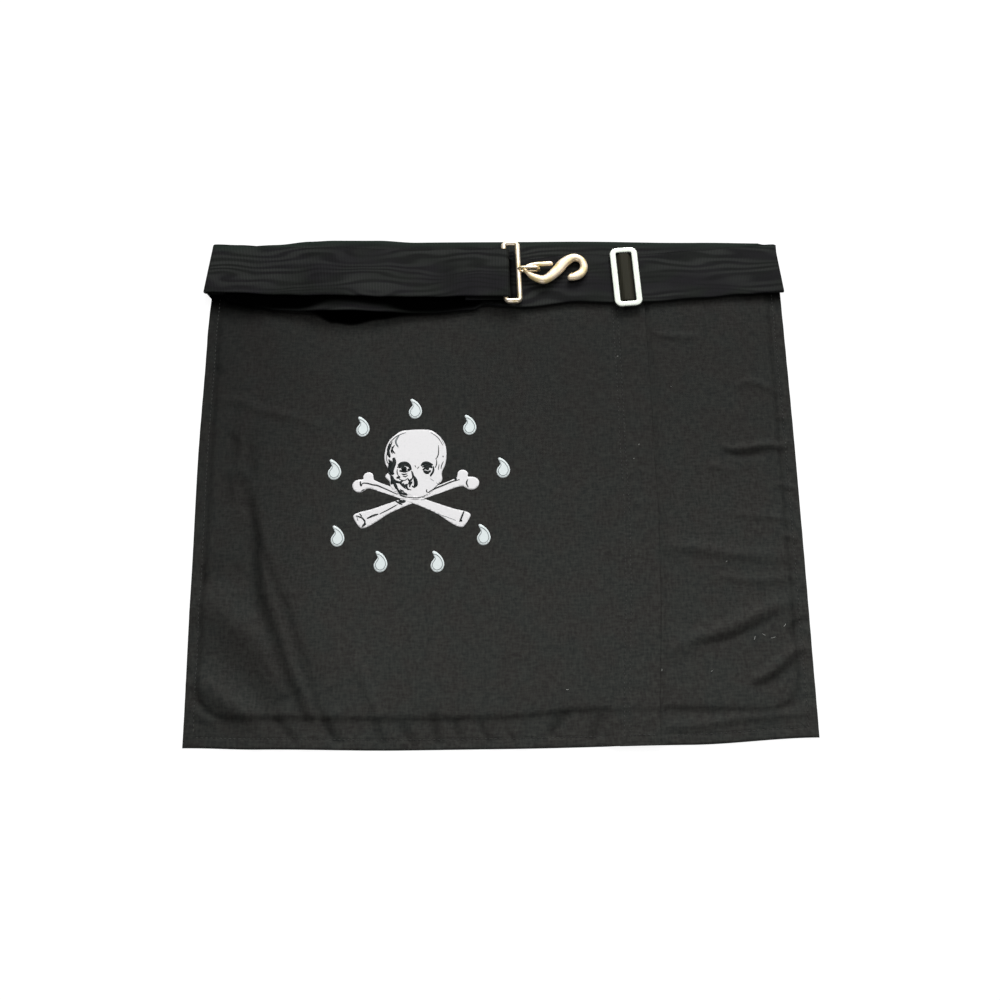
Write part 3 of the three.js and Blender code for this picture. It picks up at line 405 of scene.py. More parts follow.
HEM_STITCH = 6.5
HEM_GROOVE = 0.32
HEM_GROOVE_WIDTH = 0.9
HEM_BITE = 0.25
HEM_ROUNDING = 0.7
HEM_REACH = 12.0
HEM_PUCKER = 0.16
PUCKER_PITCH = 17.0
# How the puckers wander along the hem, as an angle in radians
PUCKER_WANDER = rows("rise size seed", (2.0, 40.0, 3))


def hem_inset(x, y):
    return np.minimum(
        np.minimum(x - left_edge(side_share(y)), right_edge(side_share(y)) - x),
        y - lower_edge(x),
    )


def hem_height(x, y):
    inset = hem_inset(x, y)
    lumps = np.sin((x + y) / PUCKER_PITCH * 2 * np.pi + swells(x, y, PUCKER_WANDER))
    pucker = HEM_PUCKER * lumps * (1 - smoothstep(inset, 0, HEM_REACH))
    stitched = HEM_GROOVE * groove(inset, HEM_STITCH, HEM_GROOVE_WIDTH) * bites(x + y, HEM_BITE)
    return pucker - stitched - rounding(inset, HEM_ROUNDING)


# Swells of the lying cloth; the wide ones are lower in a circle round the emblem, which fades outwards
WIDE_SWELLS = rows("rise size seed", (0.4, 58.0, 11), (0.18, 21.0, 12))
FINE_SWELLS = rows("rise size seed", (0.035, 7.0, 13))
QUIET_X = -54
QUIET_Y = -8
QUIET_RADII = (70, 130)
QUIET_SHARE = 0.45
SWELLS_FADE = (-8, 0.06 * PANEL_HEIGHT)
LOWEST_CLOTH = 0.35


def undulation(x, y):
    away = np.hypot(x - QUIET_X, y - QUIET_Y)
    quiet = QUIET_SHARE + (1 - QUIET_SHARE) * smoothstep(away, *QUIET_RADII)
    waves = quiet * swells(x, y, WIDE_SWELLS) + swells(x, y, FINE_SWELLS)
    return waves * smoothstep(CREASES_END - y, *SWELLS_FADE)


def cloth_height(x, y):
    x, y = np.asarray(x, float), np.asarray(y, float)
    relief = stiffener_height(x, y) + crease_height(x, y) + hem_height(x, y) + undulation(x, y)
    return np.maximum(CLOTH + relief - HOLLOW_DEPTH * hollow_share(x, y), LOWEST_CLOTH)


# The lap: two rows of stitches at these distances from the pocket's edge, and a slope down past them
SEAM_OFFSETS = (19.7, 23.1)
SEAM_GROOVE = 0.3
SEAM_GROOVE_WIDTH = 0.8
SEAM_BITE = 0.3
LAP_SLOPE = (LAP_WIDTH + 2, LAP_WIDTH + 10)
LAP_SWELLS = rows("rise size seed", (0.1, 16.0, 21))
LAP_WAVE = 0.05
LAP_WAVE_PITCH = 11.0
LAP_BELLY = 0.18
LAP_ROUNDING = 0.75


def lap_height(x, y):
    inset = pocket_edge(side_share(y)) - x
    grooves = sum(groove(inset, offset, SEAM_GROOVE_WIDTH) for offset in SEAM_OFFSETS)
    waves = swells(x, y, LAP_SWELLS) + LAP_WAVE * np.sin(y / LAP_WAVE_PITCH * 2 * np.pi)
    belly = LAP_BELLY * np.sin(np.pi * np.clip(inset / SEAM_OFFSETS[0], 0, 1))
    stitched = SEAM_GROOVE * grooves * bites(y, SEAM_BITE)
    return LAP_TOP + waves + belly - stitched - rounding(inset, LAP_ROUNDING)


# Mesh helpers

def make_piece(name, points, faces, material, smooth=True, body="root"):
    """A mesh object from points in mm; it rides on the body unless body is None."""
    mesh = bpy.data.meshes.new(name)
    mesh.from_pydata([tuple(point) for point in np.asarray(points, float) * MM], [], faces)
    mesh.validate()
    mesh.update()
    if smooth:
        mesh.shade_smooth()
    mesh.materials.append(material)
    piece = bpy.data.objects.new(name, mesh)
    bpy.context.scene.collection.objects.link(piece)
    if body:
        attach(piece, body)
    return piece


def grid_slab(place, top, under, columns, lines):
    """Points and faces of a cloth slab: a fine upper face, side walls, and a plain underside."""
    width, height = len(columns), len(lines)
    u, v = np.meshgrid(columns, lines)
    x, y = place(u, v)
    upper = np.stack([x, y, top(x, y, u)], -1).reshape(-1, 3)
    at = lambda i, j: j * width + i
    faces = [(at(i, j), at(i + 1, j), at(i + 1, j + 1), at(i, j + 1))
             for j in range(height - 1) for i in range(width - 1)]
    rim = ([(i, 0) for i in range(width)] + [(width - 1, j) for j in range(1, height)]
           + [(i, height - 1) for i in range(width - 2, -1, -1)] + [(0, j) for j in range(height - 2, 0, -1)])
    lower_points = [(x[j, i], y[j, i], under(u[j, i])) for i, j in rim]
    lower = {cell: len(upper) + k for k, cell in enumerate(rim)}
    for a, b in zip(rim, rim[1:] + rim[:1]):
        faces.append((at(*a), lower[a], lower[b], at(*b)))
    last, top_line = width - 1, height - 1
    for i in range(1, last - 1):
        faces.append((lower[i, 0], lower[i, top_line], lower[i + 1, top_line], lower[i + 1, 0]))
    faces.append([lower[1, 0]] + [lower[0, j] for j in range(height)] + [lower[1, top_line]])
    faces.append([lower[last - 1, top_line]] + [lower[last, j] for j in range(top_line, -1, -1)]
                 + [lower[last - 1, 0]])
    return np.vstack([upper, lower_points]), faces


def sweep(centres, up, half_widths, half_thicks, sides, closed=False):
    """Rings round a line of centres; an open line is closed by a flat face at each end."""
    centres = np.asarray(centres, float)
    count = len(centres)
    if closed:
        tangents = np.roll(centres, -1, axis=0) - np.roll(centres, 1, axis=0)
    else:
        tangents = np.gradient(centres, axis=0)
    tangents /= np.linalg.norm(tangents, axis=1)[:, None]
    side = np.cross(tangents, up)
    side /= np.linalg.norm(side, axis=1)[:, None]
    lift = np.cross(side, tangents)
    angles = 2 * np.pi * np.arange(sides) / sides
    wide, thick = np.broadcast_to(half_widths, count), np.broadcast_to(half_thicks, count)
    points = (centres[:, None]
              + side[:, None] * (np.cos(angles)[None] * wide[:, None])[..., None]
              + lift[:, None] * (np.sin(angles)[None] * thick[:, None])[..., None]).reshape(-1, 3)
    at = lambda i, k: (i % count) * sides + k % sides
    faces = [(at(i, k), at(i + 1, k), at(i + 1, k + 1), at(i, k + 1))
             for i in range(count if closed else count - 1) for k in range(sides)]
    if not closed:
        faces.append([at(0, k) for k in range(sides)])
        faces.append([at(count - 1, k) for k in reversed(range(sides))])
    return points, faces


def joined(parts):
    """Several points-and-faces pairs as one."""
    points, faces, count = [], [], 0
    for part_points, part_faces in parts:
        points.append(part_points)
        faces += [[corner + count for corner in face] for face in part_faces]
        count += len(part_points)
    return np.vstack(points), faces


# Materials

class Recipe:
    """A material's nodes, fed one into the next."""

    def __init__(self, name, **surface):
        self.material = bpy.data.materials.new(name)
        self.material.use_nodes = True
        self.tree = self.material.node_tree
        self.surface = self.tree.nodes["Principled BSDF"]
        self.feed(self.surface, surface)

    def feed(self, node, values):
        """Sets or links sockets; _0 is the socket of that number, and _ in a name is a space."""
        for name, value in values.items():
            socket = node.inputs[int(name[1:]) if name[0] == "_" else name.replace("_", " ")]
            if isinstance(value, bpy.types.NodeSocket):
                self.tree.links.new(value, socket)
            else:
                socket.default_value = value

    def node(self, kind, settings=(), **values):
        node = self.tree.nodes.new(kind)
        for name, value in dict(settings).items():
            setattr(node, name, value)
        self.feed(node, values)
        return node

    def stretched(self, place, scale):
        return self.node("ShaderNodeMapping", Vector=place, Scale=scale).outputs["Vector"]

    def place(self, scale=(1, 1, 1)):
        """The place on the object in metres, scaled."""
        return self.stretched(self.node("ShaderNodeTexCoord").outputs["Object"], scale)

    def stored(self, name):
        """A share that the mesh stores at each of its points."""
        return self.node("ShaderNodeAttribute", {"attribute_name": name}).outputs["Fac"]

    def math(self, operation, a, b=0.0):
        return self.node("ShaderNodeMath", {"operation": operation}, _0=a, _1=b).outputs[0]

    def noise(self, place, scale=1.0, detail=2.0, roughness=0.5):
        node = self.node("ShaderNodeTexNoise", Vector=place, Scale=scale, Detail=detail, Roughness=roughness)
        return node.outputs["Fac"]

    def ramp(self, value, low, high, start=0.0, end=1.0):
        """Start where the value is low, end where it is high, and smooth between."""
        node = self.node(
            "ShaderNodeMapRange", {"interpolation_type": "SMOOTHSTEP"},
            Value=value, From_Min=low, From_Max=high, To_Min=start, To_Max=end,
        )
        return node.outputs["Result"]

    def mix(self, share, first, second):
        node = self.node("ShaderNodeMix", {"data_type": "RGBA"}, _0=share, _6=first, _7=second)
        return node.outputs[2]

    def bump(self, height, distance_m, strength=1.0):
        node = self.node("ShaderNodeBump", Height=height, Distance=distance_m, Strength=strength)
        self.feed(self.surface, {"Normal": node.outputs["Normal"]})


def rgb(red, green, blue):
    """A colour from its eye-corrected shares, 0 to 255."""
    linear = [(part / 255 / 12.92) if part < 10.3 else ((part / 255 + 0.055) / 1.055) ** 2.4
              for part in (red, green, blue)]
    return (*linear, 1.0)


CLOTH_WARM = rgb(37, 35, 34)
CLOTH_COOL = rgb(35, 37, 36)
CLOTH_PALE = rgb(63, 64, 60)
PAINTED_SHADE_BLACK = rgb(1, 1, 1)
WEAVE_PITCH_M = 0.0007
# The noise is stretched along one way for the warp's threads and along the other for the weft's
THREAD_SCALES = ((700, 160, 1), (160, 700, 1))


def cotton(name):
    """Black plain-woven cotton: fine threads, faint pale bloom, and painted shade in folds, in the hollow,
    beside the straps and towards its upper and left sides.
    """
    cloth = Recipe(name, Roughness=0.92)
    flat = cloth.place()
    tint = cloth.ramp(cloth.noise(flat, scale=45.0, detail=4.0, roughness=0.6), low=0.38, high=0.62)
    woven = cloth.mix(tint, CLOTH_WARM, CLOTH_COOL)
    bloom = cloth.noise(flat, scale=430.0, detail=3.0, roughness=0.6)
    woven = cloth.mix(cloth.ramp(bloom, low=0.44, high=0.72, end=0.34), woven, CLOTH_PALE)
    for scales in THREAD_SCALES:
        threads = cloth.noise(cloth.place(scales))
        woven = cloth.mix(cloth.ramp(threads, low=0.35, high=0.7, end=0.3), woven, CLOTH_PALE)
    split = cloth.node("ShaderNodeSeparateXYZ", Vector=flat)
    across, up = split.outputs["X"], split.outputs["Y"]
    # Painted shade: the cloth is darker towards its upper side and its left side, where less light falls on
    # it
    painted_falloff = cloth.math("ADD", cloth.ramp(up, low=-0.16, high=0.13, end=0.36),
                       cloth.ramp(across, low=-0.09, high=-0.19, end=0.2))
    woven = cloth.mix(painted_falloff, woven, PAINTED_SHADE_BLACK)
    # Painted shade that the mesh stores at each point, as a share from 0 to 1
    painted_shade = cloth.stored("painted_shade")
    cloth.feed(cloth.surface, {
        "Base_Color": cloth.mix(painted_shade, woven, PAINTED_SHADE_BLACK),
        "Specular_IOR_Level": cloth.ramp(painted_shade, low=0.0, high=1.0, start=0.16, end=0.0),
    })
    turns = 2 * math.pi / WEAVE_PITCH_M
    warp = cloth.math("SINE", cloth.math("MULTIPLY", across, turns))
    weft = cloth.math("SINE", cloth.math("MULTIPLY", up, turns))
    weave = cloth.math("MULTIPLY", warp, weft)
    lumps = cloth.math("MULTIPLY", cloth.noise(flat, scale=420.0, detail=4.0, roughness=0.6), 2.2)
    cloth.bump(cloth.math("ADD", weave, lumps), distance_m=0.00009, strength=0.55)
    return cloth.material


WEB_DARK = rgb(7, 8, 8)
WEB_VIOLET = rgb(20, 19, 22)
WEB_GREEN = rgb(19, 22, 19)
WEB_LIGHT = rgb(42, 44, 42)
WEB_RIM = rgb(24, 35, 29)
WEB_WARM = rgb(43, 42, 33)
RIB_PITCH_M = 0.00105
BAND_PITCH_M = 0.0052
# How far the bands wander, as an angle in radians
BAND_WANDER = 34.0


def moire(name, shift):
    """Watered webbing: wood-grain bands along it and fine ribs across it."""
    web = Recipe(name, Roughness=0.68)
    place = web.place()
    split = web.node("ShaderNodeSeparateXYZ", Vector=place)
    across, along = split.outputs["Y"], split.outputs["X"]
    moved = web.node("ShaderNodeVectorMath", {"operation": "ADD"}, _0=place, _1=(shift, 0, 0)).outputs[0]
    wander = web.noise(web.stretched(moved, (17, 62, 1)), detail=1.2, roughness=0.45)
    phase = web.math("ADD", web.math("MULTIPLY", across, 2 * math.pi / BAND_PITCH_M),
                     web.math("MULTIPLY", wander, BAND_WANDER))
    wave = web.math("SINE", phase)
    patch = web.ramp(web.noise(web.stretched(moved, (14, 40, 1))), low=0.35, high=0.68)
    hue = web.ramp(web.noise(web.stretched(moved, (30, 60, 1)), detail=1.0), low=0.4, high=0.6)
    light_band = web.math("MULTIPLY", web.ramp(wave, low=-0.9, high=1.0), patch)
    shade = web.mix(light_band, web.mix(hue, WEB_VIOLET, WEB_GREEN), WEB_LIGHT)
    streaks = web.noise(web.stretched(moved, (20, 75, 1)), scale=2.0, detail=1.0)
    dark_band = web.math("MULTIPLY", web.ramp(wave, low=0.1, high=-1.0, end=0.58),
                         web.ramp(streaks, low=0.4, high=0.58, start=0.15))
    shade = web.mix(dark_band, shade, WEB_DARK)
    rib = web.math("SINE", web.math("MULTIPLY", along, 2 * math.pi / RIB_PITCH_M))
    ribbed = web.math("MULTIPLY", web.ramp(rib, low=-0.2, high=1.0),
                      web.ramp(patch, low=0.1, high=0.9, start=0.2, end=0.7))
    shade = web.mix(ribbed, shade, WEB_DARK)
    shade = web.mix(web.stored("rim"), shade, WEB_RIM)
    shade = web.mix(web.stored("warm"), shade, WEB_WARM)
    # Painted shade that the mesh stores at each point: black where the straps lie in shadow
    painted_shade_share = web.stored("painted_shade")
    web.feed(web.surface, {
        "Base_Color": web.mix(painted_shade_share, shade, PAINTED_SHADE_BLACK),
        "Specular_IOR_Level": web.ramp(painted_shade_share, low=0.0, high=1.0, start=0.1, end=0.0),
    })
    grain = web.math("MULTIPLY", web.noise(place, scale=900.0), 0.6)
    web.bump(web.math("ADD", rib, grain), distance_m=0.00012, strength=0.6)
    return web.material


def gold(name, metallic, bright, dull):
    metal = Recipe(name, Metallic=metallic)
    place = metal.place()
    wear = metal.noise(place, scale=260.0, detail=3.0)
    tarnish = metal.ramp(metal.noise(place, scale=180.0, detail=4.0), low=0.44, high=0.66, end=0.55)
    metal.feed(metal.surface, {
        "Base_Color": metal.mix(tarnish, bright, dull),
        "Roughness": metal.ramp(wear, low=0.3, high=0.75, start=0.28, end=0.38),
    })
    metal.bump(metal.noise(place, scale=700.0), distance_m=0.00002, strength=0.4)
    return metal.material


def silver():
    metal = Recipe("satin_silver", Metallic=1.0)
    brushed = metal.noise(metal.place((2600, 160, 200)))
    dull = metal.ramp(metal.noise(metal.place(), scale=140.0, detail=4.0), low=0.5, high=0.8, end=0.4)
    metal.feed(metal.surface, {
        "Base_Color": metal.mix(dull, rgb(190, 195, 186), rgb(172, 180, 168)),
        "Roughness": metal.ramp(brushed, low=0.3, high=0.7, start=0.24, end=0.36),
    })
    metal.bump(brushed, distance_m=0.00001, strength=0.3)
    return metal.material


def ink(name, colour, blotch):
    """Printed ink with the cloth's grain showing through."""
    printed = Recipe(name, Roughness=0.75, Specular_IOR_Level=0.25)
    place = printed.place()
    grain = printed.ramp(printed.noise(place, scale=900.0, detail=3.0), low=0.5, high=0.85, end=0.5)
    printed.feed(printed.surface, {"Base_Color": printed.mix(grain, colour, blotch)})
    printed.bump(printed.noise(place, scale=1100.0), distance_m=0.00004, strength=0.5)
    return printed.material


def thread(name):
    strand = Recipe(name, Roughness=0.6, Specular_IOR_Level=0.4)
    twist = strand.ramp(strand.noise(strand.place(), scale=1500.0), low=0.35, high=0.65)
    strand.feed(strand.surface, {"Base_Color": strand.mix(twist, rgb(25, 25, 25), rgb(56, 57, 54))})
    strand.bump(twist, distance_m=0.00005, strength=0.6)
    return strand.material


COTTON = cotton("black_cotton")
MOIRE_LEFT = moire("moire_left", 0.0)
MOIRE_RIGHT = moire("moire_right", 0.37)
MOIRE_BAND = moire("moire_waistband", 0.81)
BUCKLE_GOLD = gold("buckle_gold", 0.84, rgb(249, 234, 212), rgb(222, 199, 124))
HOOK_GOLD = gold("hook_gold", 0.45, rgb(251, 231, 202), rgb(224, 197, 98))
SILVER = silver()
WHITE_INK = ink("white_ink", rgb(220, 219, 220), rgb(198, 200, 199))
TEAR_INK = ink("tear_ink", rgb(212, 220, 220), rgb(190, 199, 199))
BLACK_INK = ink("black_ink", rgb(22, 28, 28), rgb(54, 58, 58))
GREY_INK = ink("grey_ink", rgb(112, 118, 120), rgb(150, 156, 156))
THREAD = thread("black_thread")
LINT = ink("lint", rgb(190, 192, 188), rgb(150, 150, 146))


# Cloth panels

CLOTH_GRID = 1.4
EDGE_GRID = 0.5
# Widths that get the fine grid, along the hem, the lap's edge and the plain sides
FINE_HEM = 9
FINE_LAP = 4
FINE_PLAIN = 2


def shares(length, fine_start, fine_end):
    """Grid shares along a side: fine over the given lengths at its ends."""
    return np.concatenate([
        steps(0, fine_start, EDGE_GRID)[:-1],
        steps(fine_start, length - fine_end, CLOTH_GRID),
        steps(length - fine_end, length, EDGE_GRID)[1:],
    ]) / length


def panel_place(start_edge, end_edge):
    def place(u, v):
        start, end = start_edge(v), end_edge(v)
        x = start + (end - start) * u
        low, high = lower_edge(x), upper_edge(x)
        return x, low + (high - low) * v
    return place


def add_shares(piece, name, share_at):
    """A share from 0 to 1 at each corner of the mesh, for the material."""
    points = np.array([corner.co for corner in piece.data.vertices]) / MM
    shares_of_points = piece.data.attributes.new(name, "FLOAT", "POINT")
    shares_of_points.data.foreach_set("value", share_at(points[:, 0], points[:, 1]))


def apron_panel():
    width = PANEL_WIDTH / 2 + pocket_edge(0.5)
    lap_share = lambda u: 1 - smoothstep((1 - u) * width, *LAP_SLOPE)
    points, faces = grid_slab(
        panel_place(left_edge, pocket_edge),
        lambda x, y, u: cloth_height(x, y) * (1 - lap_share(u)) + lap_height(x, y) * lap_share(u),
        lambda u: LAP_UNDERSIDE * lap_share(u),
        shares(width, FINE_HEM, FINE_LAP),
        shares(PANEL_HEIGHT, FINE_HEM, FINE_PLAIN),
    )
    panel = make_piece("apron_cloth", points, faces, COTTON)
    add_shares(panel, "painted_shade", cloth_shade)
    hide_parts("apron_panel")
    return panel


# The pocket panel is plain under the lap and takes up the cloth's relief over this width past the lap's edge
TUCK_START = 0.8
TUCK_RISE = 3.5


def pocket_panel():
    tuck_edge = lambda v: pocket_edge(v) - LAP_WIDTH
    width = PANEL_WIDTH / 2 - pocket_edge(0.5) + LAP_WIDTH

    def top(x, y, _):
        inset = x - pocket_edge(side_share(y)) - TUCK_START
        tuck = 1 - smoothstep(inset, 0, TUCK_RISE)
        return cloth_height(x, y) * (1 - tuck) + CLOTH * tuck

    points, faces = grid_slab(
        panel_place(tuck_edge, right_edge),
        top,
        lambda u: 0.0,
        shares(width, FINE_PLAIN, FINE_HEM),
        shares(PANEL_HEIGHT, FINE_HEM, FINE_PLAIN),
    )
    panel = make_piece("pocket_cloth", points, faces, COTTON)
    add_shares(panel, "painted_shade", cloth_shade)
    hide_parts("pocket_panel")


# Stitches

STITCH_LENGTH = 1.9
THREAD_RADIUS = 0.22
THREAD_SIDES = 6
# One stitch from end to end: the place as a share of its length, height and thickness in thread radii
STITCH_SHAPE = rows(
    "along height thick",
    (-0.5, -0.8, 0.55), (-0.25, 0.5, 0.95), (0, 0.8, 1), (0.25, 0.5, 0.95), (0.5, -0.8, 0.55),
)


def stitch_row(name, line, height):
    """Short thread bites along a line, each dipping into the cloth at its ends."""
    line = np.asarray(line, float)
    lengths = np.r_[0, np.cumsum(np.linalg.norm(np.diff(line, axis=0), axis=1))]
    radii = THREAD_RADIUS * column_of(STITCH_SHAPE, "thick")
    parts = []
    for middle in np.arange(STITCH_PITCH / 2, lengths[-1], STITCH_PITCH):
        places = middle + STITCH_LENGTH * column_of(STITCH_SHAPE, "along")
        x = np.interp(places, lengths, line[:, 0])
        y = np.interp(places, lengths, line[:, 1])
        z = height(x, y) + THREAD_RADIUS * column_of(STITCH_SHAPE, "height")
        parts.append(sweep(np.stack([x, y, z], -1), (0, 0, 1), radii, radii, THREAD_SIDES))
    points, faces = joined(parts)
    return make_piece(name, points, faces, THREAD)


# Points that lead the rows of stitches, and how far the hem's rows stay clear of the lap's two edges
SIDE_POINTS = 60
HEM_POINTS = 90
SEAM_POINTS = 80
PAST_SEAM = 5
LAP_CLEAR = 2
SEAM_START = 1
SEAM_END = 0.36 * PANEL_HEIGHT


def hem_stitches():
    level = np.linspace(0, 1, SIDE_POINTS)
    inset = HEM_STITCH
    side_y = (level - 0.5) * (PANEL_HEIGHT - 2 * inset)
    left = np.stack([left_edge(side_share(side_y)) + inset, side_y], -1)[::-1]
    low_x = np.linspace(-PANEL_WIDTH / 2 + inset, PANEL_WIDTH / 2 - inset, HEM_POINTS)
    low = np.stack([low_x, lower_edge(low_x) + inset], -1)
    right = np.stack([right_edge(side_share(side_y)) - inset, side_y], -1)
    gap = pocket_edge(0.0)
    stitch_row("hem_stitches_left", left, cloth_height)
    stitch_row("hem_stitches_low", low[low_x < gap - LAP_WIDTH], cloth_height)
    stitch_row("hem_stitches_low_right", low[low_x > gap + PAST_SEAM], cloth_height)
    stitch_row("hem_stitches_right", right, cloth_height)
    on_lap = (low_x > gap - LAP_WIDTH + LAP_CLEAR) & (low_x < gap - LAP_CLEAR)
    stitch_row("hem_stitches_lap", low[on_lap], lap_height)


def seam_stitches():
    y = np.linspace(-PANEL_HEIGHT / 2 + SEAM_START, SEAM_END, SEAM_POINTS)
    for i, offset in enumerate(SEAM_OFFSETS):
        x = pocket_edge(side_share(y)) - offset
        stitch_row(f"seam_stitches_{i + 1}", np.stack([x, y], -1), lap_height)


# Webbing, with the straps' low edges, bow, lift and skew as in the CAD

SLIDER_X = 0.2294 * PANEL_WIDTH
SLIDER_Y = 0.4155 * PANEL_HEIGHT
SLIDER_LEAN = 0.062
SLIDER_OPENING = 10.6
SLIDER_END_BAR = 3.9
SLIDER_CORNER = 5.0
SLIDER_OPENING_CORNER = 1.2
SLIDER_LEVEL = STRAP_TOP + GAP
CENTRE_BAR = 2.5
CENTRE_BAR_THICKNESS = 1.0
STRAP_OVER_BAR = SLIDER_LEVEL + CENTRE_BAR_THICKNESS + GAP + WEBBING / 2
CLIMB_START = 0.484 * SLIDER_OPENING
CLIMB_END = 0.158 * SLIDER_OPENING

RIGHT_STRAP = rows(
    "along low bow skew",
    (-0.475, 0.3745, 0, 0), (-0.42, 0.361, 0, 0), (-0.385, 0.353, 0, 0), (-0.35, 0.3495, 0.9, 0),
    (-0.3, 0.347, 3.4, 0), (-0.25, 0.345, 4.3, 0), (-0.195, 0.343, 2.8, 0), (-0.145, 0.342, 0.6, 0),
    (-0.11, 0.3425, 0, 0), (-0.04, 0.349, 0, 0), (-0.02, 0.3605, 0, 0), (0.005, 0.3575, 0, 0),
    (0.05, 0.3545, 0, 0), (0.145, 0.3655, 0, -0.8), (0.2, 0.3627, 0, -2.3), (0.25, 0.3627, 0, -2.3),
    (0.36, 0.3705, 0, -2.4), (0.43, 0.3775, 0, -3.4), (0.5, 0.3825, 0, -4.1),
)
RIGHT_TURN_X = 0.4992 * PANEL_WIDTH

BUCKLE_X = 0.0167 * PANEL_WIDTH
BUCKLE_Y = 0.4263 * PANEL_HEIGHT
BUCKLE_LEAN = 0.034
BUCKLE_CORNER = 2.2
EYE_REACH = 14.5
EYE_HALF_HEIGHT = 3.1
EYE_Y = 0.4314 * PANEL_HEIGHT
EYE_LEVEL = STRAP_TOP + GAP + EYE_HALF_HEIGHT + EYE_WIRE / 2
WRAP_RADIUS = BUCKLE_WIRE / 2 + GAP + WEBBING / 2
BUCKLE_LEVEL = LEFT_STRAP_LEVEL + WRAP_RADIUS

LEFT_STRAP = rows(
    "along low lift skew",
    (-0.5, 0.394, 0, 4.9), (-0.46, 0.392, 0, 3.2), (-0.385, 0.3855, 0.1, 0), (-0.3, 0.378, 0.35, 0),
    (-0.245, 0.3745, 0.35, 0), (-0.2, 0.3735, 0.3, 0), (-0.16, 0.376, 0.3, 0), (-0.12, 0.3765, 0.35, 0),
    (-0.095, 0.376, 0.6, -0.2), (-0.06, 0.3748, 2.3, -0.6), (-0.02, 0.372, 3.4, -1),
    (0.0167, 0.3692, 4.5, -1.26),
)
LEFT_TURN_X = -0.503 * PANEL_WIDTH
TAIL_END = -0.055 * PANEL_WIDTH
TAIL_TO_WRAP = 1.5
WAISTBAND_REACH = 0.469 * PANEL_WIDTH
WAISTBAND_DROP = 0.5
# The legs folded under at both sides end this far outside the waistband
LEG_GAP = 1
LEG_END = WAISTBAND_REACH + LEG_GAP
LEFT_LEG_DROP = 4.4
LEFT_LEG_CORNER = 2.5
# Steps along the webbing, finer over the slider's bar, and parts of a turn and across the webbing
STATION = 2.0
CLIMB_STATION = 0.4
TURN_PARTS = 14
ACROSS = 22
# The selvedge is rounded over this width; SELVEDGE_THIN is the square of its least share of thickness
SELVEDGE_ROUND = 0.7
SELVEDGE_THIN = 0.12


def right_strap_at(x):
    offset = abs(x - SLIDER_X)
    climb = smoothstep(CLIMB_START - offset, 0, CLIMB_START - CLIMB_END)
    share = x / PANEL_WIDTH
    rise = between(RIGHT_STRAP, "bow", share) * WEBBING
    return dict(
        x=x,
        z=RIGHT_STRAP_LEVEL + rise + climb * (STRAP_OVER_BAR - RIGHT_STRAP_LEVEL),
        low=PANEL_HEIGHT * between(RIGHT_STRAP, "low", share),
        skew=between(RIGHT_STRAP, "skew", share),
    )


def left_strap_at(x):
    share = x / PANEL_WIDTH
    lift = between(LEFT_STRAP, "lift", share) * WEBBING
    return dict(
        x=x,
        z=min(right_strap_at(x)["z"] + STRAP_STEP + lift, BUCKLE_LEVEL + WRAP_RADIUS),
        low=PANEL_HEIGHT * between(LEFT_STRAP, "low", share),
        skew=between(LEFT_STRAP, "skew", share),
    )


def half_turn(station, x, z, radius, side):
    """Stations round a fold, which bulges to the right for side 1 and to the left for side -1."""
    angles = np.linspace(-np.pi / 2, np.pi / 2, TURN_PARTS + 1)
    return [dict(station, x=x + side * radius * math.cos(a), z=z + radius * math.sin(a)) for a in angles]


def ribbon(stations, ruffle):
    """Webbing through its stations, with a rounded selvedge; ruffle gives the face's small relief."""
    x, z, low, skew = (column_of(stations, name) for name in ("x", "z", "low", "skew"))
    run_x, run_z = np.gradient(x), np.gradient(z)
    length = np.hypot(run_x, run_z)
    normal = np.stack([-run_z / length, np.zeros_like(x), run_x / length], -1)
    share = 0.5 - 0.5 * np.cos(np.linspace(0, np.pi, ACROSS + 1))
    edge = np.minimum(share, 1 - share) * WEBBING_WIDTH
    round_off = (1 - np.clip(edge / SELVEDGE_ROUND, 0, 1)) ** 2
    half = WEBBING / 2 * np.sqrt(np.clip(1 - round_off, SELVEDGE_THIN, 1))
    middle = np.stack([
        x[:, None] + skew[:, None] * (share - 0.5),
        low[:, None] + WEBBING_WIDTH * share + 0 * x[:, None],
        z[:, None] + 0 * share,
    ], -1)
    wave = ruffle(middle[..., 0], share[None, :] + 0 * x[:, None])
    middle = middle + normal[:, None] * wave[..., None]
    upper = middle + normal[:, None] * half[None, :, None]
    lower = middle - normal[:, None] * half[None, :, None]
    ring = np.concatenate([upper, lower[:, ::-1]], axis=1)
    count, size = ring.shape[:2]
    at = lambda i, k: i * size + k % size
    faces = [(at(i, k), at(i + 1, k), at(i + 1, k + 1), at(i, k + 1))
             for i in range(count - 1) for k in range(size)]
    faces.append([at(0, k) for k in range(size)])
    faces.append([at(count - 1, k) for k in reversed(range(size))])
    return ring.reshape(-1, 3), faces, float(length.sum())


# The light that the right strap's lower lip still gets beside the left strap, kept clear of the painted
# shade, and how far up it reaches
LIT_LIP = rows(
    "along lit reach",
    (-0.43, 0.05, 2), (-0.35, 0.35, 2.5), (-0.28, 0.95, 9), (-0.21, 0.8, 7), (-0.14, 0.3, 2.5),
    (-0.07, 0.3, 2.5), (0.0, 0.6, 4), (0.02, 0.5, 4), (0.045, 1, 5),
)
RIM_WIDTH = 7.0
# How dark the painted shade along each strap's own upper edge is, and between which distances from the edge
# it fades
SELVEDGE_PAINTED_SHADE = 0.7
SELVEDGE_REACH = (0.1, 1.2)
# The left strap covers the right one up to here, as shares of the panel's width
COVERED_UP_TO = (0.02, 0.045)


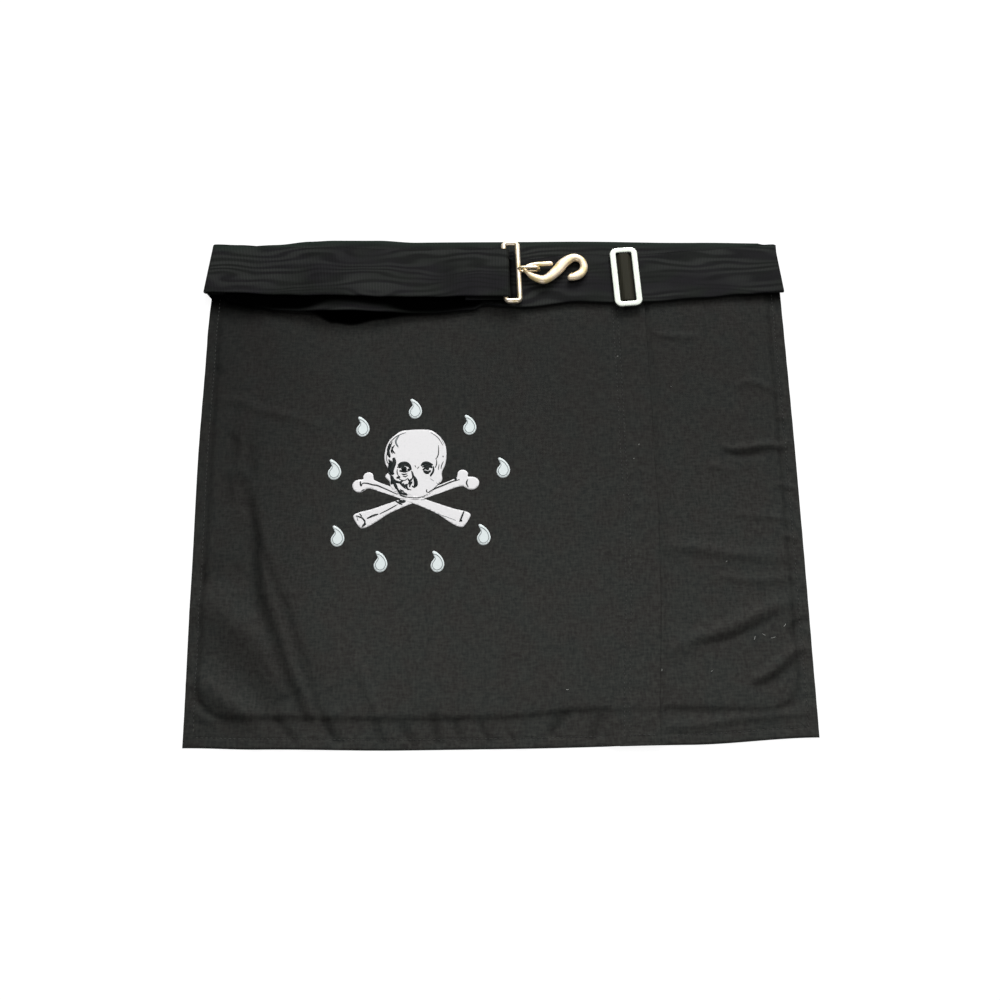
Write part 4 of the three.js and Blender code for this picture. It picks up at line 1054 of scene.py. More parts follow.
def belt_rim(x, y):
    """The greenish tone along the belt's upper edge, whichever strap makes it."""
    share = x / PANEL_WIDTH
    left = np.where(x < BUCKLE_X, PANEL_HEIGHT * between(LEFT_STRAP, "low", share), 0.0)
    right = PANEL_HEIGHT * between(RIGHT_STRAP, "low", share)
    top = np.maximum(np.maximum(left, right) + WEBBING_WIDTH, upper_edge(x))
    return 1 - smoothstep(top - y, 0, RIM_WIDTH)


def selvedge_shade(table):
    """A thin painted shade line along a strap's own upper edge."""
    def shade(x, y):
        own_top = PANEL_HEIGHT * between(table, "low", x / PANEL_WIDTH) + WEBBING_WIDTH
        return SELVEDGE_PAINTED_SHADE * (1 - smoothstep(own_top - y, *SELVEDGE_REACH))
    return shade


def right_strap_shade(x, y):
    """How much painted shade blackens the right strap under the left one and at its upper edge."""
    share = x / PANEL_WIDTH
    from_lip = y - PANEL_HEIGHT * between(RIGHT_STRAP, "low", share)
    lit = between(LIT_LIP, "lit", share) * (1 - smoothstep(from_lip / between(LIT_LIP, "reach", share)))
    covered = 1 - smoothstep(share, *COVERED_UP_TO)
    return np.maximum(covered * (1 - lit), selvedge_shade(RIGHT_STRAP)(x, y))


def strap(name, node, stations, ruffle, material):
    points, faces, length = ribbon(stations, ruffle)
    piece = make_piece(name, points, faces, material)
    add_shares(piece, "rim", belt_rim)
    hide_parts(node)
    return piece


# The webbing's small waves: their size, and the width over which the noise runs from edge to edge
RUFFLE_SIZE = 13.0
RUFFLE_ACROSS = 30


def small_ruffle(amount, seed):
    return lambda x, share: amount * soft_noise(x, RUFFLE_ACROSS * share, RUFFLE_SIZE, seed)


# The waistband is painted black as shade where it shows between the folded straps at the left end
BAND_SHADE_X = -0.36 * PANEL_WIDTH
BAND_SHADE_Y = 0.42 * PANEL_HEIGHT


def waistband():
    stations = []
    for x in steps(-WAISTBAND_REACH, WAISTBAND_REACH, STATION):
        low = upper_edge(x) - WAISTBAND_DROP - WEBBING_WIDTH
        stations.append(dict(x=x, z=WAISTBAND_LEVEL, low=low, skew=0.0))
    ruffle = small_ruffle(amount=0.05, seed=31)
    piece = strap("waistband_webbing", "waistband", stations, ruffle, MOIRE_BAND)
    add_shares(piece, "painted_shade", lambda x, y: 1.0 * ((x < BAND_SHADE_X) & (y < BAND_SHADE_Y)))
    return piece


# Short slanting wrinkles where the webbing is pressed into the slider's lower corner
PINCH_HEIGHT = 0.12
PINCH_REACH = 4
PINCH_SHARE = 0.22
PINCH_SLANT = 9
PINCH_TURN = 2.2
# The webbing inside the slider is warmer, fading out between these distances from its middle
WARM_REACH = (4, 7)


def right_strap_ruffle(x, share):
    pinch = np.exp(-(((x - SLIDER_X) / PINCH_REACH) ** 2)) * np.exp(-((share / PINCH_SHARE) ** 2))
    wrinkles = PINCH_HEIGHT * pinch * np.sin((x - PINCH_SLANT * share) * PINCH_TURN)
    return small_ruffle(amount=0.05, seed=32)(x, share) + wrinkles


def belt_right():
    at_turn = right_strap_at(RIGHT_TURN_X)
    leg = [
        dict(at_turn, x=LEG_END, z=WAISTBAND_LEVEL, skew=0.0),
        dict(at_turn, x=(LEG_END + RIGHT_TURN_X) / 2, z=WAISTBAND_LEVEL, skew=at_turn["skew"] / 2),
    ]
    turn = half_turn(at_turn, RIGHT_TURN_X, (WAISTBAND_LEVEL + RIGHT_STRAP_LEVEL) / 2, STRAP_STEP / 2, 1)
    climb_from, climb_to = SLIDER_X + CLIMB_START, SLIDER_X - CLIMB_START
    run = [right_strap_at(x) for x in np.concatenate([
        steps(RIGHT_TURN_X - STATION, climb_from + STATION / 2, STATION),
        steps(climb_from, climb_to, CLIMB_STATION),
        steps(climb_to - STATION / 2, RIGHT_STRAP[0]["along"] * PANEL_WIDTH, STATION),
    ])]
    piece = strap("belt_right_webbing", "belt_right", leg + turn + run, right_strap_ruffle, MOIRE_RIGHT)
    add_shares(piece, "painted_shade", right_strap_shade)
    add_shares(piece, "warm", lambda x, y: 1 - smoothstep(np.abs(x - SLIDER_X), *WARM_REACH))
    return piece


# The folded-under leg, painted black as shade, shows left of here, below the strap by this much
LEFT_LEG_X = -0.46 * PANEL_WIDTH
LEFT_LEG_BELOW = 0.8


def left_strap_shade(x, y):
    """Painted shade: black on the folded-under leg at the left end, and thin at the upper edge."""
    low = PANEL_HEIGHT * between(LEFT_STRAP, "low", x / PANEL_WIDTH)
    leg = (x < LEFT_LEG_X) & (y < low - LEFT_LEG_BELOW)
    return np.where(leg, 1.0, selvedge_shade(LEFT_STRAP)(x, y))


def belt_left():
    at_buckle, at_turn = left_strap_at(BUCKLE_X), left_strap_at(LEFT_TURN_X)
    at_tail = dict(at_buckle, z=BUCKLE_LEVEL - WRAP_RADIUS)
    tail = [dict(at_tail, x=x) for x in steps(TAIL_END, BUCKLE_X - TAIL_TO_WRAP, STATION)]
    wrap = half_turn(at_buckle, BUCKLE_X, BUCKLE_LEVEL, WRAP_RADIUS, 1)
    run = [left_strap_at(x) for x in steps(BUCKLE_X - STATION, LEFT_TURN_X + STATION, STATION)]
    turn = half_turn(at_turn, LEFT_TURN_X, (WAISTBAND_LEVEL + LEFT_STRAP_LEVEL) / 2, STRAP_STEP, -1)[::-1]
    at_leg = dict(at_turn, z=WAISTBAND_LEVEL, low=at_turn["low"] - LEFT_LEG_DROP)
    leg = [
        dict(at_leg, x=LEFT_TURN_X + LEFT_LEG_CORNER, skew=at_turn["skew"] / 2),
        dict(at_leg, x=-LEG_END, skew=0.0),
    ]
    piece = strap("belt_left_webbing", "belt_left", tail + wrap + run + turn + leg,
                  small_ruffle(amount=0.06, seed=33), MOIRE_LEFT)
    add_shares(piece, "painted_shade", left_strap_shade)


# Metal trimmings

def rounded_loop(width, height, radius, parts):
    """Corner arcs of a rounded rectangle, as x and y pairs."""
    points = []
    for side_x, side_y, start in ((1, 1, 0), (-1, 1, 90), (-1, -1, 180), (1, -1, 270)):
        for angle in np.radians(start + np.linspace(0, 90, parts + 1)):
            points.append((side_x * (width / 2 - radius) + radius * math.cos(angle),
                           side_y * (height / 2 - radius) + radius * math.sin(angle)))
    return np.array(points)


def close_up(points, longest):
    """The closed line with points added where they stand further apart than longest."""
    filled = []
    for start, end in zip(points, np.roll(points, -1, axis=0)):
        count = max(1, math.ceil(np.linalg.norm(end - start) / longest))
        filled += [start + (end - start) * i / count for i in range(count)]
    return np.array(filled)


LOOP_STEP = 3.0
LOOP_CORNER_PARTS = 10
LOOP_SIDES = 24
EYE_STEP = 1.5
EYE_CORNER_PARTS = 12
EYE_SIDES = 18
# Keeps a short straight stretch at the eye's ends
EYE_STRAIGHT = 0.1


def buckle_loop():
    lean = lambda y: BUCKLE_X + BUCKLE_WIDTH / 2 - BUCKLE_LEAN * (y - BUCKLE_Y)
    flat = close_up(rounded_loop(BUCKLE_WIDTH, BUCKLE_HEIGHT, BUCKLE_CORNER, LOOP_CORNER_PARTS), LOOP_STEP)
    loop = np.array([(lean(BUCKLE_Y + y) + x, BUCKLE_Y + y, BUCKLE_LEVEL) for x, y in flat])
    bar_x = lean(EYE_Y) + BUCKLE_WIDTH / 2
    eye_radius_of_bend = EYE_HALF_HEIGHT - EYE_STRAIGHT
    ring = rounded_loop(EYE_REACH, 2 * EYE_HALF_HEIGHT, eye_radius_of_bend, EYE_CORNER_PARTS)
    ring = close_up(ring, EYE_STEP)
    eye = np.array([(bar_x + EYE_REACH / 2 + x, EYE_Y, EYE_LEVEL + z) for x, z in ring])
    radius, eye_radius = BUCKLE_WIRE / 2, EYE_WIRE / 2
    points, faces = joined([
        sweep(loop, (0, 0, 1), radius, radius, LOOP_SIDES, closed=True),
        sweep(eye, (0, 1, 0), eye_radius, eye_radius, EYE_SIDES, closed=True),
    ])
    piece = make_piece("buckle_wire", points, faces, BUCKLE_GOLD)
    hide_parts("buckle_loop")


HOOK_X = 0.0508 * PANEL_WIDTH
HOOK_Y = 0.4323 * PANEL_HEIGHT
HOOK_DROOP = 0.045
HOOK_LINE = rows(
    "x y width thickness",
    (0.472, 0.101, 3.3, 2.4), (0.323, 0.091, 3.4, 2.6), (0.205, 0.08, 3.4, 2.8), (0.098, 0.062, 2.9, 2.9),
    (0.026, 0.023, 2.6, 2.8), (0, -0.017, 2.6, 2.8), (0.04, -0.06, 3.0, 3.0), (0.14, -0.14, 4.8, 3.8),
    (0.288, -0.194, 6.1, 4.4), (0.398, -0.154, 6.6, 4.7), (0.542, -0.019, 7.6, 5.0), (0.647, 0.109, 7.4, 4.9),
    (0.798, 0.207, 6.0, 4.5), (0.923, 0.179, 5.0, 4.0), (0.979, 0.058, 5.3, 4.0), (0.94, -0.056, 6.0, 4.1),
    (0.844, -0.121, 6.2, 4.1), (0.751, -0.145, 4.9, 3.8), (0.705, -0.142, 4.0, 3.2),
)
HOOK_PARTS = 12
HOOK_SIDES = 28
HOOK_END = 1.6
# The square of the share of the wire's thickness that the hook's very ends keep
HOOK_THIN = 0.02


def snake_hook():
    knots = [(row["x"], row["y"], row["width"], row["thickness"]) for row in HOOK_LINE]
    line = spline(knots, HOOK_PARTS)
    centres = np.stack([
        HOOK_X + line[:, 0] * HOOK_LENGTH,
        HOOK_Y + line[:, 1] * HOOK_LENGTH,
        EYE_LEVEL - HOOK_DROOP * line[:, 0] * HOOK_LENGTH,
    ], -1)
    run = np.r_[0, np.cumsum(np.linalg.norm(np.diff(centres, axis=0), axis=1))]
    inset = np.clip(np.minimum(run, run[-1] - run) / HOOK_END, 0, 1)
    taper = np.sqrt(np.clip(1 - (1 - inset) ** 2, HOOK_THIN, 1))
    half_widths, half_thicks = line[:, 2] / 2 * taper, line[:, 3] / 2 * taper
    points, faces = sweep(centres, (0, 0, 1), half_widths, half_thicks, HOOK_SIDES)
    piece = make_piece("snake_hook", points, faces, HOOK_GOLD)
    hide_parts("s_hook")


SLIDER_EDGE = 0.7
SLIDER_EDGE_PARTS = 4
SLIDER_CORNER_PARTS = 10
# A stretch longer than this is a straight side, cut into this many parts
STRAIGHT_FROM = 3.0
STRAIGHT_PARTS = 8
BAR_OVERLAP = 1
BAR_SIDES = 12


def frame_section(width, thickness, edge):
    """A rounded rectangle's section as across and up pairs, from the outer side to the inner one."""
    section = []
    for side, level, start in ((0, 0, 180), (width, 0, 270), (width, thickness, 0), (0, thickness, 90)):
        centre_x = side + (edge if side == 0 else -edge)
        centre_z = level + (edge if level == 0 else -edge)
        for angle in np.radians(start + np.linspace(0, 90, SLIDER_EDGE_PARTS + 1)):
            section.append((centre_x + edge * math.cos(angle), centre_z + edge * math.sin(angle)))
    return section


def slider_lines(opening_height):
    """Matching points round the slider's outside and round its opening."""
    corner = rounded_loop(SLIDER_WIDTH, SLIDER_HEIGHT, SLIDER_CORNER, SLIDER_CORNER_PARTS)
    inner_corner = rounded_loop(SLIDER_OPENING, opening_height, SLIDER_OPENING_CORNER, SLIDER_CORNER_PARTS)
    outer, inner = [], []
    for k in range(len(corner)):
        after = (k + 1) % len(corner)
        straight = np.linalg.norm(corner[after] - corner[k]) > STRAIGHT_FROM
        for i in range(STRAIGHT_PARTS if straight else 1):
            share = i / STRAIGHT_PARTS
            outer.append(corner[k] * (1 - share) + corner[after] * share)
            inner.append(inner_corner[k] * (1 - share) + inner_corner[after] * share)
    return outer, inner


def belt_slider():
    opening_height = SLIDER_HEIGHT - 2 * SLIDER_END_BAR
    outer, inner = slider_lines(opening_height)
    points = []
    for start, end in zip(outer, inner):
        width = np.linalg.norm(end - start)
        section = frame_section(width, SLIDER_THICKNESS, SLIDER_EDGE)
        for across, up in section:
            x, y = start + (end - start) * across / width
            points.append((x, y, up))
    total, size = len(outer), len(section)
    at = lambda i, k: (i % total) * size + k % size
    faces = [(at(i, k), at(i, k + 1), at(i + 1, k + 1), at(i + 1, k))
             for i in range(total) for k in range(size)]
    bar_end = opening_height / 2 + BAR_OVERLAP
    bar_line = [(0, -bar_end, CENTRE_BAR_THICKNESS / 2), (0, bar_end, CENTRE_BAR_THICKNESS / 2)]
    bar = sweep(bar_line, (0, 0, 1), CENTRE_BAR / 2, CENTRE_BAR_THICKNESS / 2, BAR_SIDES)
    points, faces = joined([(np.array(points), faces), bar])
    lean = np.array(Matrix.Rotation(math.atan(SLIDER_LEAN), 3, "Z"))
    points = points @ lean.T + (SLIDER_X, SLIDER_Y, SLIDER_LEVEL)
    piece = make_piece("slider_frame", points, faces, SILVER)
    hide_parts("belt_slider")


# Printed emblem, drawn in shares of the skull's width and height from the middle of its chin

EMBLEM_X = -0.1385 * PANEL_WIDTH
EMBLEM_Y = -0.044 * PANEL_HEIGHT
PRINT_RISE = 0.16
INK_RISE = 0.24
# The second bone lies this much lower than the first
BONE_STEP = 0.05
FILM_GRID = 1.3
# Points inside an outline stay this clear of its corners
FILM_CLEAR = 0.35
FILM_THICKNESS = 0.08
# What the triangulation keeps, and how close two points are one, in mm
KEEP_INSIDE = 1
SAME_POINT = 1e-6

SKULL_OUTLINE = [
    (0.0, 0.0), (0.2, 0.06), (0.36, 0.2), (0.43, 0.28), (0.424, 0.383), (0.481, 0.506), (0.498, 0.654),
    (0.467, 0.802), (0.354, 0.926), (0.198, 0.995), (-0.17, 0.99), (-0.311, 0.938), (-0.438, 0.827),
    (-0.495, 0.667), (-0.488, 0.531), (-0.424, 0.414), (-0.481, 0.333), (-0.41, 0.26), (-0.382, 0.173),
    (-0.24, 0.06),
]
BONES = rows(
    "from_x from_y to_x to_y",
    (-0.83, 0.268, 0.76, -0.242),
    (0.84, 0.29, -0.85, -0.242),
)
# A bone's outline: how far along it, and how far to its upper side in skull widths
BONE_OUTLINE = [
    (-0.01, 0.035), (-0.02, 0.09), (-0.006, 0.15), (0.028, 0.178), (0.06, 0.16), (0.078, 0.11),
    (0.13, 0.075), (0.5, 0.064), (0.76, 0.07), (0.9, 0.078), (1.0, 0.1), (1.055, 0.085),
    (1.062, 0.02), (1.045, -0.12), (1.025, -0.165), (0.97, -0.172), (0.875, -0.14), (0.74, -0.085),
    (0.5, -0.064), (0.15, -0.066), (0.07, -0.085), (0.045, -0.13), (0.02, -0.18), (-0.02, -0.2),
    (-0.06, -0.175), (-0.084, -0.11), (-0.075, -0.04), (-0.045, 0.005),
]
TEARS = [
    (-0.01, 1.304), (0.875, 1.062), (1.411, 0.442), (1.09, -0.49), (0.361, -0.85), (-0.532, -0.842),
    (-1.217, -0.488), (-1.298, 0.44), (-0.857, 1.052),
]
TEAR_OUTLINE = [
    (0, -0.5), (0.3, -0.417), (0.463, -0.25), (0.5, -0.107), (0.407, 0.107), (0.185, 0.31),
    (-0.093, 0.452), (-0.278, 0.5), (-0.38, 0.452), (-0.315, 0.345), (-0.222, 0.226),
    (-0.278, 0.107), (-0.444, -0.036), (-0.5, -0.19), (-0.426, -0.345), (-0.241, -0.464),
]


def on_panel(points):
    """Emblem shares as x and y on the panel."""
    return np.array(points, float) * (SKULL_WIDTH, SKULL_HEIGHT) + (EMBLEM_X, EMBLEM_Y)


def on_cloth(flat, rise):
    """The flat points with their height over the cloth."""
    return np.column_stack([flat, cloth_height(flat[:, 0], flat[:, 1]) + rise])


def film(outline, rise):
    """A thin printed area inside a closed outline, lying on the cloth."""
    outline = np.asarray(outline, float)
    low, high = outline.min(axis=0), outline.max(axis=0)
    columns = np.arange(low[0], high[0], FILM_GRID)
    lines = np.arange(low[1], high[1], FILM_GRID)
    inner = [(x, y) for x in columns for y in lines if inside(outline, x, y)]
    spots = [Vector(point) for point in outline] + [Vector(point) for point in inner]
    edges = [(i, (i + 1) % len(outline)) for i in range(len(outline))]
    found = geometry.delaunay_2d_cdt(spots, edges, [], KEEP_INSIDE, SAME_POINT)
    flat = np.array([tuple(point) for point in found[0]])
    return on_cloth(flat, rise), [list(face) for face in found[2]]


def inside(outline, x, y):
    """True if the point is in the outline, a little clear of its edge."""
    after = np.roll(outline, -1, axis=0)
    crosses = (outline[:, 1] > y) != (after[:, 1] > y)
    with np.errstate(divide="ignore", invalid="ignore"):
        moved = (y - outline[:, 1]) * (after[:, 0] - outline[:, 0])
        at = outline[:, 0] + moved / (after[:, 1] - outline[:, 1])
    if np.count_nonzero(crosses & (x < at)) % 2 == 0:
        return False
    return np.hypot(outline[:, 0] - x, outline[:, 1] - y).min() > FILM_CLEAR


def print_piece(name, parts, material, nodes):
    points, faces = joined(parts)
    piece = make_piece(name, points, faces, material)
    thick = piece.modifiers.new("ink film", "SOLIDIFY")
    thick.thickness = FILM_THICKNESS * MM
    thick.offset = -1
    if nodes:
        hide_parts(*nodes)


BONE_PARTS = 4


def bone_outline(bone):
    start, end = on_panel([(bone["from_x"], bone["from_y"]), (bone["to_x"], bone["to_y"])])
    run = end - start
    upward = np.sign(run[0]) * np.array([-run[1], run[0]]) / np.linalg.norm(run)
    outline = [start + run * along + upward * up * SKULL_WIDTH for along, up in BONE_OUTLINE]
    return closed_spline(outline, BONE_PARTS)


# Ink lines in hundredths of the skull's width and height: points along each and its width in mm
SKULL_INK = rows(
    "points width",
    # Shadow down the left temple and cheek
    ([(-38, 83), (-42, 73), (-45, 66), (-41, 60)], 0.75),
    ([(-34, 78), (-39, 70), (-37, 66)], 0.6),
    ([(-43, 58), (-40, 50), (-41, 45)], 0.9),
    ([(-35, 60), (-34, 53), (-37, 46), (-38, 40), (-35, 36)], 2.0),
    ([(-40, 55), (-42, 48)], 0.8),
    ([(-44, 41), (-40, 36), (-37, 33)], 0.7),
    ([(-39, 35), (-37, 28), (-38, 22)], 1.3),
    ([(-34, 29), (-30, 26), (-24, 25), (-20, 27)], 1.1),
    ([(-34, 22), (-31, 18), (-28, 15)], 0.9),
    ([(-42, 80), (-44, 70), (-41, 61)], 1.2),
    ([(-39, 56), (-41, 46), (-38, 38)], 1.6),
    ([(-37, 34), (-34, 25), (-29, 18)], 1.3),
    ([(-26, 14), (-20, 9), (-12, 7)], 0.9),
    ([(-38, 76), (-37, 70), (-33, 66)], 0.7),
    ([(-30, 31), (-24, 33)], 1.1),
    ([(-24, 24), (-18, 20), (-12, 22)], 1.3),
    # Left eye hollow
    ([(-29, 46), (-20, 50), (-10, 47)], 1.0),
    ([(-25, 42), (-18, 40), (-11, 41)], 0.8),
    ([(-28, 49), (-22, 52), (-14, 52), (-8, 48)], 1.3),
    ([(-27, 46), (-22, 48), (-18, 46)], 1.5),
    ([(-22, 46), (-18, 44), (-14, 45)], 2.1),
    ([(-13, 51), (-9, 47), (-7, 42)], 1.2),
    ([(-12, 44), (-9, 41)], 1.0),
    ([(-26, 41), (-21, 40), (-16, 39)], 0.5),
    ([(-22, 37), (-18, 36), (-13, 37)], 0.6),
    ([(-20, 34), (-16, 33), (-12, 35)], 0.5),
    ([(-29, 44), (-29, 38), (-26, 33)], 0.45),
    # Right eye hollow
    ([(11, 46), (19, 49), (27, 45)], 1.0),
    ([(14, 41), (20, 39), (25, 41)], 1.1),
    ([(9, 48), (14, 52), (20, 52), (28, 49)], 1.3),
    ([(12, 50), (16, 49), (22, 49)], 0.8),
    ([(12, 42), (18, 46), (24, 47), (27, 45)], 1.2),
    ([(17, 44), (22, 44)], 1.5),
    ([(13, 41), (17, 38), (22, 37)], 0.9),
    ([(29, 47), (29, 41), (26, 36), (24, 33)], 0.9),
    # Nose
    ([(-2, 31), (0, 25), (-1, 19)], 1.2),
    ([(-12, 30), (-8, 25), (-9, 18)], 0.9),
    ([(-6, 41), (-4, 36), (-4, 31)], 0.8),
    ([(-3, 34), (1, 28), (2, 22), (1, 19)], 1.3),
    ([(-4, 31), (-8, 27), (-11, 22)], 0.9),
    ([(-7, 22), (-5, 26)], 0.7),
    ([(-5, 20), (-2, 18), (2, 19)], 0.7),
    # Cheekbone and teeth on the shaded side
    ([(-27, 31), (-22, 28), (-16, 28), (-12, 31)], 0.45),
    ([(-19, 24), (-18, 19), (-15, 16)], 0.8),
    ([(-14, 22), (-13, 17), (-10, 14)], 0.9),
    ([(-29, 18), (-26, 12), (-22, 9)], 0.9),
    ([(-24, 15), (-20, 12)], 0.6),
    ([(-26, 10), (-21, 6), (-14, 4)], 0.6),
    ([(-20, 14), (-17, 10), (-13, 9)], 0.45),
    ([(-10, 15), (-6, 14)], 0.4),
    # Jaw line and the drawn rim
    ([(-16, 96), (-30, 91), (-41, 82), (-46, 70)], 0.35),
    ([(-46, 68), (-46, 56), (-41, 47), (-43, 37)], 0.35),
    ([(40, 25), (34, 19), (22, 10)], 0.3),
    ([(-24, 8), (-14, 4.5), (0, 3), (12, 4.5), (20, 8)], 0.35),
    ([(24, 96), (36, 88), (44, 77)], 0.28),
    # Right temple
    ([(37, 77), (37, 66), (35, 60), (32, 57)], 0.45),
    ([(34, 57), (34, 50), (32, 45)], 0.45),
    ([(45, 54), (42, 48), (41, 43)], 0.4),
    ([(44, 62), (45, 60)], 0.5),
    ([(38, 50), (37, 42)], 0.35),
    # Brow and bridge
    ([(-1, 49), (1, 46)], 0.35),
    ([(6, 47), (3, 44)], 0.35),
    # Bone ends and undersides
    ([(-86, 20), (-84, 24), (-76, 24), (-68, 22), (-61, 21), (-50, 17), (-40, 13), (-28, 8)], 0.6),
    ([(-88, 27), (-87, 20)], 0.7),
    ([(-86, 13), (-81, 16)], 0.5),
    ([(64, 32), (65, 27)], 1.1),
    ([(71, 28), (58, 25), (44, 20), (30, 15), (20, 10)], 0.6),
    ([(84, 28), (82, 23), (85, 17)], 0.6),
    ([(19, 15), (18, 12), (21, 10)], 0.45),
    ([(52, 33), (53, 31)], 0.5),
    ([(-94, -21), (-84, -24), (-79, -30), (-83, -35)], 0.7),
    ([(-88, -18), (-84, -22)], 0.5),
    ([(-76, -25), (-66, -21), (-58, -19)], 0.8),
    ([(-56, -19), (-40, -12), (-28, -6)], 0.45),
    ([(-31, -1), (-25, -4), (-20, -6)], 0.8),
    ([(-26, 0), (-20, -2), (-15, -1)], 1.3),
    ([(-84, -37), (-77, -32)], 0.6),
    ([(78, -16), (74, -25), (71, -31)], 0.8),
    ([(74, -28), (72, -30)], 1.2),
)
GREY_LINES = rows(
    "points width",
    ([(-27, 92), (-32, 84), (-30, 77)], 1.3),
    ([(-31, 80), (-28, 75)], 1.0),
    ([(30, -18), (50, -24), (65, -29)], 0.35),
    ([(9, 0), (16, 1)], 0.4),
    ([(34, 24), (36, 22)], 0.4),
    ([(40, 90), (46, 78)], 0.3),
    ([(-92, -22), (-90, -28)], 0.5),
    ([(24, 30), (30, 26)], 0.3),
)
HUNDREDTH = 0.01
INK_SPREAD = 1.55
STROKE_PARTS = 5
# A stroke's width at its ends, as a share of its full width, and how much of the line each end skips
STROKE_THIN = 0.35
STROKE_END = 0.02


def ink_band(line, run, half_widths, closed):
    """A flat band of ink along a line, lying on the cloth."""
    run = run / np.linalg.norm(run, axis=1)[:, None]
    across = np.stack([-run[:, 1], run[:, 0]], -1) * half_widths[:, None]
    flat = np.concatenate([line + across, line - across])
    count = len(line)
    faces = [(i, i + count, (i + 1) % count + count, (i + 1) % count)
             for i in range(count if closed else count - 1)]
    return on_cloth(flat, INK_RISE), faces


def stroke(points, width):
    """A flat ink line that thins out at both ends."""
    line = spline(on_panel(np.array(points) * HUNDREDTH), STROKE_PARTS)
    share = np.clip(np.linspace(0, 1, len(line)), STROKE_END, 1 - STROKE_END)
    half_widths = width / 2 * (STROKE_THIN + (1 - STROKE_THIN) * np.sqrt(np.sin(np.pi * share)))
    return ink_band(line, np.gradient(line, axis=0), half_widths, closed=False)


def closed_stroke(line, width):
    run = np.roll(line, -1, axis=0) - np.roll(line, 1, axis=0)
    return ink_band(line, run, np.full(len(line), width / 2), closed=True)


SKULL_PARTS = 5


def emblem():
    skull = film(closed_spline(on_panel(SKULL_OUTLINE), SKULL_PARTS), PRINT_RISE)
    bones = [film(bone_outline(bone), PRINT_RISE - BONE_STEP * i) for i, bone in enumerate(BONES)]
    black_lines = [stroke(row["points"], row["width"] * INK_SPREAD) for row in SKULL_INK]
    grey_lines = [stroke(row["points"], row["width"]) for row in GREY_LINES]
    print_piece("skull", [skull], WHITE_INK, ["skull_print"])
    print_piece("crossbones", bones, WHITE_INK, ["crossbones_print"])
    print_piece("engraving", black_lines, BLACK_INK, [])
    print_piece("engraving_grey", grey_lines, GREY_INK, [])


# The grey line inside each tear: its width, its size as a share of the tear's, and how far it sits lower
TEAR_LINE = 0.42
TEAR_LINE_INSET = 0.74
TEAR_LINE_DROP = 0.3
TEAR_PARTS = 3


def tears():
    size = np.array([TEAR_WIDTH, TEAR_HEIGHT])
    lines = []
    for i, centre in enumerate(TEARS):
        middle = on_panel([centre])[0]
        outline = closed_spline(np.array(TEAR_OUTLINE) * size + middle, TEAR_PARTS)
        print_piece(f"tear_{i + 1}", [film(outline, PRINT_RISE)], TEAR_INK, [f"tear_print_{i + 1}"])
        inner = np.array(TEAR_OUTLINE) * size * TEAR_LINE_INSET + middle + (0, -TEAR_LINE_DROP)
        lines.append(closed_stroke(closed_spline(inner, TEAR_PARTS), TEAR_LINE))
    print_piece("tear_lines", lines, GREY_INK, [])


# Lint: short pale fibres where they lie in the photo, x and y in mm, length and turn in degrees
LINT_FIBRES = rows(
    "x y length turn",
    (165, -111, 2.4, 70), (171, -109, 2.0, -30), (177, -111, 2.8, 15), (185, -103, 2.2, 50),
    (43, -143, 1.6, 0), (84, 87, 1.0, 20), (104, -131, 1.4, 80), (136, -132, 1.2, 35),
    (96, 22, 0.9, 60), (92, 12, 0.9, 10), (150, -60, 1.0, 40), (120, 64, 0.9, -20),
)
LINT_RADIUS = 0.09
LINT_RISE = 0.12
LINT_BEND = 0.35
LINT_POINTS = 7
LINT_SIDES = 6


def lint():
    share = np.linspace(-0.5, 0.5, LINT_POINTS)
    parts = []
    for fibre in LINT_FIBRES:
        turn = math.radians(fibre["turn"])
        bend = LINT_BEND * fibre["length"]
        x = fibre["x"] + fibre["length"] * share * math.cos(turn) - bend * (share ** 2) * math.sin(turn)
        y = fibre["y"] + fibre["length"] * share * math.sin(turn) + bend * (share ** 2) * math.cos(turn)
        edge = pocket_edge(side_share(y))
        on_lap = (x < edge) & (x >= edge - LAP_SLOPE[1])
        height = np.where(on_lap, lap_height(x, y), cloth_height(x, y)) + LINT_RISE
        parts.append(sweep(np.stack([x, y, height], -1), (0, 0, 1), LINT_RADIUS, LINT_RADIUS, LINT_SIDES))
    points, faces = joined(parts)
    make_piece("lint", points, faces, LINT)


# Camera, light and floor

# The camera's tilt from straight down and its roll in degrees; the lens as a share of the sensor's width
CAMERA_TILT = 16.8
CAMERA_ROLL = -0.635
CAMERA_DISTANCE = 805.0
CAMERA_TARGET = (1.41, -15.3, 0.0)
CAMERA_NEAREST_M = 0.01
FOCAL_SHARE = 1.2
SENSOR = 36.0


def camera():
    tilt, roll = math.radians(CAMERA_TILT), math.radians(CAMERA_ROLL)
    back = Vector((0, -math.sin(tilt), math.cos(tilt)))
    right, up = Vector((1, 0, 0)), Vector((0, math.cos(tilt), math.sin(tilt)))
    turned_right = right * math.cos(roll) + up * math.sin(roll)
    turned_up = up * math.cos(roll) - right * math.sin(roll)
    turned = Matrix((turned_right, turned_up, back)).transposed().to_4x4()
    place = (Vector(CAMERA_TARGET) + back * CAMERA_DISTANCE) * MM
    lens = bpy.data.cameras.new("photo_camera")
    lens.sensor_width = SENSOR
    lens.lens = SENSOR * FOCAL_SHARE
    lens.clip_start = CAMERA_NEAREST_M
    eye = bpy.data.objects.new("photo_camera", lens)
    eye.matrix_world = Matrix.Translation(place) @ turned
    bpy.context.scene.collection.objects.link(eye)
    bpy.context.scene.camera = eye


